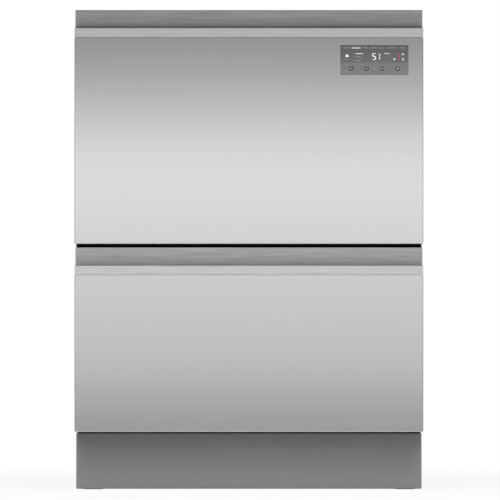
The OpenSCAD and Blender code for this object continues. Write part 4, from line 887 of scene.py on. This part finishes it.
# A clip for the folding tines' rod: a block with a slot that is a little wider where the rod lies.
def rodClip(y, base):
    s = rackSettings
    c, out = base + s["rodZ"], s["clipOut"]
    side = [(out, base), (out, c + out)] + raised(s["clipMouth"], c)
    outline = [(a - s["rowX"], z) for a, z in side] + [(-a - s["rowX"], z) for a, z in side[::-1]]
    return bar(rounded(outline, s["clipRound"] + s["clipRound"][::-1], 4), y - s["clipHalf"],
               y + s["clipHalf"], along="y")


# The rack's wires run across and along it and turn up at both ends. Three round rails go round it,
# and the legs and clips are turned or carried shapes.
def rack(k):
    s = rackSettings
    (_, y0, z0), (hw, y1, _) = cad(k + "_rack")
    mid, hd, r, f = (y0 + y1) / 2, (y1 - y0) / 2, s["r"], s["frameR"]
    base = z0 + s["up"]
    top = base + s["wall"]

    def trough(half, floor):  # down one wall, along the floor and up the other wall
        out = half - r - s["inset"]
        return rounded([(-out, top - f), (-out, floor), (out, floor), (out, top - f)],
                       [0, s["bend"], s["bend"], 0], closed=False)

    across = np.insert(trough(hw, base + r), 1, 0, axis=1)
    along = np.insert(trough(hd, base + r + s["over"]), 0, 0, axis=1)
    ys = mid + np.linspace(f - hd, hd - f, s["across"])[1:-1]
    xs = np.linspace(f - hw, hw - f, s["along"])[1:-1]
    parts = [copies(wire(across, (0, 1, 0), r), [(0, y, 0) for y in ys]),
             copies(wire(along, (1, 0, 0), r), [(x, mid, 0) for x in xs])]
    for z, rr in ((top - s["railR"], s["railR"]), (base + s["wall"] / 2, f), (base + f, f)):
        ring = level(loopOf(hw - rr, hd - rr, s["corner"], steps=5), z, (0, mid))
        parts.append(wire(ring, (0, 0, 1), rr, closed=True))
    legs = [(sx * s["legX"], mid + sy * s["legY"]) for sx in signs for sy in signs]
    parts.append(copies(turned(s["leg"], sides=20), [(x, y, z0) for x, y in legs]))
    parts.append(copies(turned(s["eye"], sides=24), [(x, y, base) for x, y in legs]))
    end = s["tineN"] * s["pitch"] + s["rowEnd"]
    line = base + s["rowR"]
    for x in [s["rowX"]] if k == "upper" else [-s["rowX"], s["rowX"]]:
        parts.append(tineRow(x, mid, base, s["tineFoot"], s["tineHigh"]))
        parts.append(strut((x, mid - end, line), (x, mid + end, line), (1, 0, 0), s["rowR"]))
    if k == "upper":
        low, high, half = s["bridge"]
        for sy in signs:
            y = mid + sy * s["clipY"]
            bridge = rectangle(-2 * s["rowX"], base + low, 0, base + high, s["bridgeRound"])
            parts += [rodClip(y, base), bar(bridge, y - half, y + half, along="y")]
        z = base + s["cupRodZ"]
        for x, y in [(sx * s["cupRodX"], mid + sy * s["cupClipY"]) for sx in signs for sy in signs]:
            post = rectangle(x - s["post"], top - s["postEnd"], x + s["post"], z - s["postEnd"],
                             s["postRound"])
            parts += [turned(s["cupClip"], (x, y, z), sides=28, axis="y"),
                      bar(post, y - s["clipHalf"], y + s["clipHalf"], along="y")]
    piece(k + "RackWires", together(parts), k + "_rack", "coatedWire", [k + "_rack"])


for k in kinds:
    rack(k)

hingeSettings = {"r": 1.8, "endR": 1.4, "end": 0.5, "tineFoot": 0.6, "sides": 12}


# The rod of a hinged rack: a round bar along Y whose ends are turned down.
def hingeRod(x, z, mid, half):
    s = hingeSettings
    r, small, e = s["r"], s["endR"], s["end"]
    profile = [(hair, -half), (small, -half), (r, e - half), (r, half - e), (small, half), (hair, half)]
    return turned(profile, (x, mid, z), s["sides"], "y")


# The folding tines: a rod across its two clips, with a domed tine at each pitch.
def foldingTines():
    s = hingeSettings
    (_, y0, z0), (_, y1, z1) = cad("upper_folding_tines")
    x, z, mid = -rackSettings["rowX"], z0 + s["r"], (y0 + y1) / 2
    parts = [hingeRod(x, z, mid, (y1 - y0) / 2), tineRow(x, mid, z, s["tineFoot"], z1 - z)]
    piece("foldingTineRow", together(parts), "upper_folding_tines", "coatedWire",
          ["upper_folding_tines"])


foldingTines()

cupSettings = {"bars": 11, "inner": 5.15, "r": 1.6, "frameR": 1.75, "inset": 1.8, "corner": 14.0,
               "lineShort": 3.0, "clipRoom": 10.0, "barShort": 1.0, "barOver": 2.0, "linkIn": 3.4,
               "linkOver": 9.0}


# A cup rack: its hinge rod, cross bars of round wire and a rounded frame round their free ends. A
# bar stops at the frame where it would run into a clip, and two links join the frame to the rod.
def cupRack(side):
    s, w = cupSettings, rackSettings
    node = "upper_cup_rack_" + side
    (x0, y0, z0), (x1, y1, z1) = cad(node)
    sign = -1 if side == "left" else 1
    mid, half, z, inset, r = (y0 + y1) / 2, (y1 - y0) / 2, (z0 + z1) / 2, s["inset"], s["r"]
    rodX = sign * w["cupRodX"]
    freeX = x1 if sign < 0 else x0
    innerX = rodX - sign * s["inner"]
    cx = (freeX + innerX) / 2
    ring = loopOf(abs(freeX - innerX) / 2 - inset, half - inset, s["corner"], steps=5)
    reach = half - s["lineShort"]
    parts = [hingeRod(rodX, z, mid, half),
             wire(level(ring, z, (cx, mid)), (0, 0, 1), s["frameR"], closed=True),
             strut((cx, mid - reach, z), (cx, mid + reach, z), (1, 0, 0), r)]
    for y in np.linspace(y0 + inset, y1 - inset, s["bars"])[1:-1]:
        clear = abs(abs(y - mid) - w["cupClipY"]) > s["clipRoom"]
        start = rodX if clear else innerX - sign * s["barShort"]
        parts.append(strut((start, y, z), (freeX + sign * s["barOver"], y, z), (0, 1, 0), r))
    for way in signs:
        y = mid + way * (half - s["linkIn"])
        parts.append(strut((rodX, y, z), (innerX - sign * s["linkOver"], y, z), (0, 1, 0), r))
    piece("cupShelf" + side.capitalize(), together(parts), node, "coatedWire", [node])


for side in ("left", "right"):
    cupRack(side)
print("racks")

footSettings = {"stemR": 5.0, "pitch": 2.5, "depth": 0.45, "stemFoot": 14.0,
                "pad": ((hair, 0), (17.5, 0), (19, 1.5), (19, 3.5), (18, 4.6), (12, 7.5), (9, 9), (9, 14.4),
                        (8.4, 15), (hair, 15))}


# A foot: a turned pad, and a stem with a screw thread that stands on it.
def foot(front, side):
    s = footSettings
    name = "foot_" + front + "_" + side
    (x0, y0, z0), (x1, y1, z1) = cad(name)
    centre = ((x0 + x1) / 2, (y0 + y1) / 2, z0)
    stem = threaded(s["stemR"], s["depth"], s["pitch"], s["stemFoot"], z1 - z0, centre)
    title = "foot" + front.capitalize() + side.capitalize()
    piece(title + "Pad", turned(s["pad"], centre, sides=48), name, "footPlastic", [name])
    piece(title + "Stem", stem, name, "railSteel", sharp=60)


for front in ("front", "rear"):
    for side in ("left", "right"):
        foot(front, side)

inletSettings = {"threadR": 13.2, "pitch": 1.8, "depth": 0.9, "long": 24.0, "threadGap": (0.3, 1.2),
                 "neckR": 11.7, "neck": (-1.2, 1.0), "coil": 14.0, "coilUnder": 12.0, "coilRound": (4, 1.5),
                 "ribs": 3, "ribPitch": 6.0, "ribAt": (5, 7), "ribLow": 13.2, "ribRound": (0.5, 0.3),
                 "mouth": ((12.2, -1.4), (12.0, -0.3), (11.4, 0), (9.5, 0), (9, -0.6), (9, -1.35),
                           (hair, -1.35)),
                 "collar": ((hair, 0), (15.4, 0), (16.2, -0.8), (16.2, -13), (15.2, -14), (hair, -14))}


# The water inlet: a screw thread round a pipe with its bore, a collar, and the coil's rounded case.
def waterInlet():
    s = inletSettings
    (x0, y0, z0), (x1, y1, z1) = cad("water_inlet_valve")
    x, z, face, c = (x0 + x1) / 2, (z0 + z1) / 2, y1 - s["long"], s["coil"]
    inside = face + s["neck"][0]
    low, high = face + s["threadGap"][0], y1 - s["threadGap"][1]
    parts = [threaded(s["threadR"], s["depth"], s["pitch"], low, high, (x, 0, z), axis="y", sides=48)]
    for profile in (raised(s["mouth"], y1), [(s["neckR"], face + v) for v in s["neck"]],
                    raised(s["collar"], inside)):
        parts.append(turned(profile, (x, 0, z), sides=48, axis="y"))
    coil = [block((x - c, y0, z - c), (x + c, inside - s["coilUnder"], z + c), *s["coilRound"])]
    for i in range(s["ribs"]):
        low, high = [y0 + v + i * s["ribPitch"] for v in s["ribAt"]]
        coil.append(block((x - c, low, z + s["ribLow"]), (x + c, high, z + c), *s["ribRound"]))
    piece("inletThread", together(parts), "cabinet", "valvePlastic", ["water_inlet_valve"],
          sharp=40)
    piece("inletCoil", together(coil), "cabinet", "darkPlastic")


drainSettings = {"long": 26.0, "bore": 6.5, "root": ((12.6, 0), (13.4, 0.8)),
                 "barbs": ((13.4, -1.3), (8, -1.2), (8, 0), (9, 0.2), (9.5, 1), (9.5, 4), (8.6, 4.4),
                           (8.6, 8), (9.5, 8.6), (8.7, 14), (9.5, 14.6)),
                 "mouth": ((8.2, -3.5), (7.6, -0.8), (7, 0), (6.5, 0))}


# The drain spigot: a turned pipe with two barbs for its hose.
def drainSpigot():
    s = drainSettings
    (x0, y0, z0), (x1, y1, z1) = cad("drain_union")
    profile = [(s["bore"], y0), *raised(s["root"], y0), *raised(s["barbs"], y1 - s["long"]),
               *raised(s["mouth"], y1), (s["bore"], y0)]
    pipe = turned(profile, ((x0 + x1) / 2, 0, (z0 + z1) / 2), sides=48, axis="y")
    piece("drainBarbs", pipe, "cabinet", "darkPlastic", ["drain_union"], sharp=30)


# The nut's rows are a radius, a height from its mouth and the depth of its flutes there.
glandSettings = {"flutes": 18, "flutePoints": 6, "bore": 4.5, "root": 10.5,
                 "nut": ((10.5, -16.2, 0), (11.2, -16, 0), (12, -15, 0.7), (12, -6, 0.7), (11, -4, 0.5),
                         (8.5, -0.8, 0), (7.6, 0, 0), (5.2, 0, 0), (4.5, -0.7, 0))}


# The mains gland: its nut's radius swells and sinks with the angle, so that it can be gripped.
def mainsGland():
    s = glandSettings
    (x0, y0, z0), (x1, y1, z1) = cad("mains_gland")
    sides, low = s["flutes"] * s["flutePoints"], y0 - y1
    flute = 0.5 + 0.5 * np.cos(np.arange(sides) * tau / sides * s["flutes"])
    rows = [(s["bore"], low, 0), (s["root"], low, 0), *s["nut"], (s["bore"], low, 0)]
    r, height, cut = np.array(rows, float).T[:, :, None]
    grid = rings(r - cut * flute, height + y1, ((x0 + x1) / 2, 0, (z0 + z1) / 2), sides, "y")
    piece("mainsGlandNut", sheetOf(grid, closeV=True), "cabinet", "darkPlastic",
          ["mains_gland"], sharp=30)


screwSettings = {"r": 4.0, "high": 2.0, "flat": 0.8, "cross": 0.55, "crossReach": 2.3, "crossDeep": 1.1,
                 "sides": 36, "count": 4, "sharp": 30,
                 "head": (0.05, 0.35, 0.7, 1.1, 1.6, 2.1, 2.4, 3.0, 3.5, 3.85, 4.0),
                 "shaft": ((4, 0), (2, 0), (2, -6.5), (1.4, -8), (0.01, -8))}


# A screw head: a dome over a disc of radius r, sunk where either of the two arms of a cross runs.
def screws():
    s = screwSettings
    (_, _, z0), (x1, y1, z1) = cad("chassis_screws")
    a = np.arange(s["sides"]) * tau / s["sides"]
    r = np.array(s["head"])[:, None]
    gx, gz = r * np.cos(a), r * np.sin(a)
    dome = s["high"] * np.sqrt(np.clip(1 - (r / s["r"]) ** 2 * s["flat"], 0, 1))
    inCross = ((np.abs(gx) < s["cross"]) | (np.abs(gz) < s["cross"])) & (np.hypot(gx, gz) < s["crossReach"])
    shaftR, shaftY = np.array(s["shaft"], float).T[:, :, None]
    height = np.concatenate([dome - s["crossDeep"] * inCross, np.repeat(shaftY, s["sides"], 1)])
    grid = rings(np.concatenate([r, shaftR]), height, (0, 0, 0), s["sides"], "y")
    zs = np.linspace(z0 + s["r"], z1 - s["r"], s["count"])
    places = [(sx * (x1 - s["r"]), y1 - s["high"], z) for sx in signs for z in zs]
    piece("rearScrews", copies(sheetOf(grid, closeV=True), places), "cabinet", "railSteel",
          ["chassis_screws"], sharp=s["sharp"])


waterInlet()
drainSpigot()
mainsGland()
screws()
print("feet, services and screws")

studio = {"cardY": -1.5, "cardHalf": 1.7, "cardGain": 2.0, "skyForEye": 1.0, "skyForLight": 0.14,
          "skyTone": 0.98, "floorTone": 0.6, "floorNear": 0.7, "floorFar": 2.0, "floorGlow": 1.0,
          "floorLift": 0.9, "floorR": 40.0, "floorSides": 64, "floorZ": -0.0002}
# Height on the card in metres, and its brightness there as a share of the gain.
cardRamp = [(-0.60, 0.06), (0.02, 0.06), (0.10, 0.15), (0.15, 0.272), (0.20, 0.367), (0.30, 0.363),
            (0.40, 0.415), (0.48, 0.455), (0.56, 0.56), (0.62, 0.46), (0.70, 0.262), (0.78, 0.18),
            (0.90, 0.115), (1.80, 0.08)]
# Each light's place, what it is aimed at, its width and height, and its power.
lights = {"topLight": ((0.0, -1.5, 2.8), (0, -0.2, 0.2), 3.0, 1.6, 85.0),
          "frontLight": ((0.0, -3.0, 2.45), (0, -0.2, 0.1), 2.6, 2.0, 56.0),
          "rearLight": ((1.8, 3.4, 2.0), (0, 0.2, 0.4), 2.2, 2.2, 14.0)}
view = {"away": 20.0, "x": 0.0019, "z": 0.4120, "wide": 0.85865, "sensor": 36.0, "near": 0.5, "far": 120.0}


def stageSheet(name, corners, mat):
    mesh = bpy.data.meshes.new(name)
    mesh.from_pydata(corners, [], [tuple(range(len(corners)))])
    sheet = bpy.data.objects.new(name, mesh)
    bpy.context.scene.collection.objects.link(sheet)
    mesh.materials.append(mat)
    return sheet


# A card in front of the machine that only its polished parts see. It shines more or less with the
# height, as the ramp says.
def glowCard():
    s = studio
    y, h, z0, z1 = s["cardY"], s["cardHalf"], cardRamp[0][0], cardRamp[-1][0]
    mat = bpy.data.materials.new("cardGlow")
    mat.use_nodes = True
    tree = mat.node_tree
    tree.nodes.clear()
    where = shaderNode(tree, "TexCoord").outputs["Object"]
    height = shaderNode(tree, "SeparateXYZ", {"Vector": where}).outputs["Z"]
    share = shaderNode(tree, "MapRange", {"Value": height, "From Min": z0, "From Max": z1})
    ramp = shaderNode(tree, "ValToRGB", {"Fac": share.outputs["Result"]})
    stops = ramp.color_ramp.elements
    for i, (z, tone) in enumerate(cardRamp):
        place = (z - z0) / (z1 - z0)
        stop = stops[i] if i < 2 else stops.new(place)
        stop.position, stop.color = place, grey(tone)
    glow = shaderNode(tree, "Emission", {"Color": ramp.outputs["Color"], "Strength": s["cardGain"]})
    shaderNode(tree, "OutputMaterial", {"Surface": glow.outputs["Emission"]})
    card = stageSheet("softCard", [(-h, y, z0), (h, y, z0), (h, y, z1), (-h, y, z1)], mat)
    for kind in ("camera", "diffuse", "transmission", "volume_scatter", "shadow"):
        setattr(card, "visible_" + kind, False)


def softLight(name, place, aim, wide, high, power):
    data = bpy.data.lights.new(name, "AREA")
    data.shape, data.size, data.size_y, data.energy = "RECTANGLE", wide, high, power
    light = bpy.data.objects.new(name, data)
    light.location = place
    light.rotation_mode = "QUATERNION"
    light.rotation_quaternion = (Vector(aim) - Vector(place)).to_track_quat("-Z", "Y")
    light.visible_camera = light.visible_glossy = False
    bpy.context.scene.collection.objects.link(light)


# The backdrop is white to the camera and a faint even light to everything else.
def studioAir():
    world = bpy.data.worlds.new("studioAir")
    bpy.context.scene.world = world
    world.use_nodes = True
    tree = world.node_tree
    tree.nodes.clear()
    toEye = shaderNode(tree, "LightPath").outputs["Is Camera Ray"]
    seen, felt = [shaderNode(tree, "Background", {"Color": grey(tone), "Strength": studio[power]})
                  for tone, power in ((1, "skyForEye"), (studio["skyTone"], "skyForLight"))]
    choice = shaderNode(tree, "MixShader", {0: toEye, 1: felt.outputs[0], 2: seen.outputs[0]})
    shaderNode(tree, "OutputWorld", {"Surface": choice.outputs[0]})


# The floor's paint gives way to an even glow with the distance from the machine, so that it runs
# into the backdrop with no line.
def paleFloor():
    s = studio
    mat = finish("paleFloorPaint", {"colour": s["floorTone"], "rough": 0.8, "drift": 0.01, "grain": 30,
                                    "patch": 0.5})
    tree = mat.node_tree
    where = shaderNode(tree, "TexCoord").outputs["Object"]
    away = shaderNode(tree, "VectorMath", {0: where}, operation="LENGTH").outputs["Value"]
    inputs = {"Value": away, "From Min": s["floorNear"], "From Max": s["floorFar"],
              "To Min": s["floorLift"]}
    share = shaderNode(tree, "MapRange", inputs, interpolation_type="SMOOTHSTEP")
    toEye = shaderNode(tree, "LightPath").outputs["Is Camera Ray"]
    seen = shaderNode(tree, "Math", {0: share.outputs["Result"], 1: toEye}, operation="MULTIPLY")
    glow = shaderNode(tree, "Emission", {"Strength": s["floorGlow"]})
    paint = tree.nodes["Principled BSDF"].outputs["BSDF"]
    both = shaderNode(tree, "MixShader", {0: seen.outputs["Value"], 1: paint, 2: glow.outputs["Emission"]})
    feed(tree, tree.nodes["Material Output"], {"Surface": both.outputs[0]})
    ring = np.arange(s["floorSides"]) * tau / s["floorSides"]
    floor = stageSheet("paleFloor", [(s["floorR"] * math.cos(a), s["floorR"] * math.sin(a), s["floorZ"])
                                     for a in ring], mat)


def camera():
    data = bpy.data.cameras.new("eye")
    data.sensor_width = view["sensor"]
    data.lens = view["sensor"] * view["away"] / view["wide"]
    data.clip_start, data.clip_end = view["near"], view["far"]
    eye = bpy.data.objects.new("eye", data)
    eye.location = (view["x"], cadBox[0][1] - view["away"], view["z"])
    eye.rotation_euler = (math.pi / 2, 0, 0)
    bpy.context.scene.collection.objects.link(eye)
    bpy.context.scene.camera = eye


glowCard()
for name, settings in lights.items():
    softLight(name, *settings)
studioAir()
paleFloor()
camera()
bpy.context.scene.view_settings.view_transform = "Standard"
print("stage, light and camera")
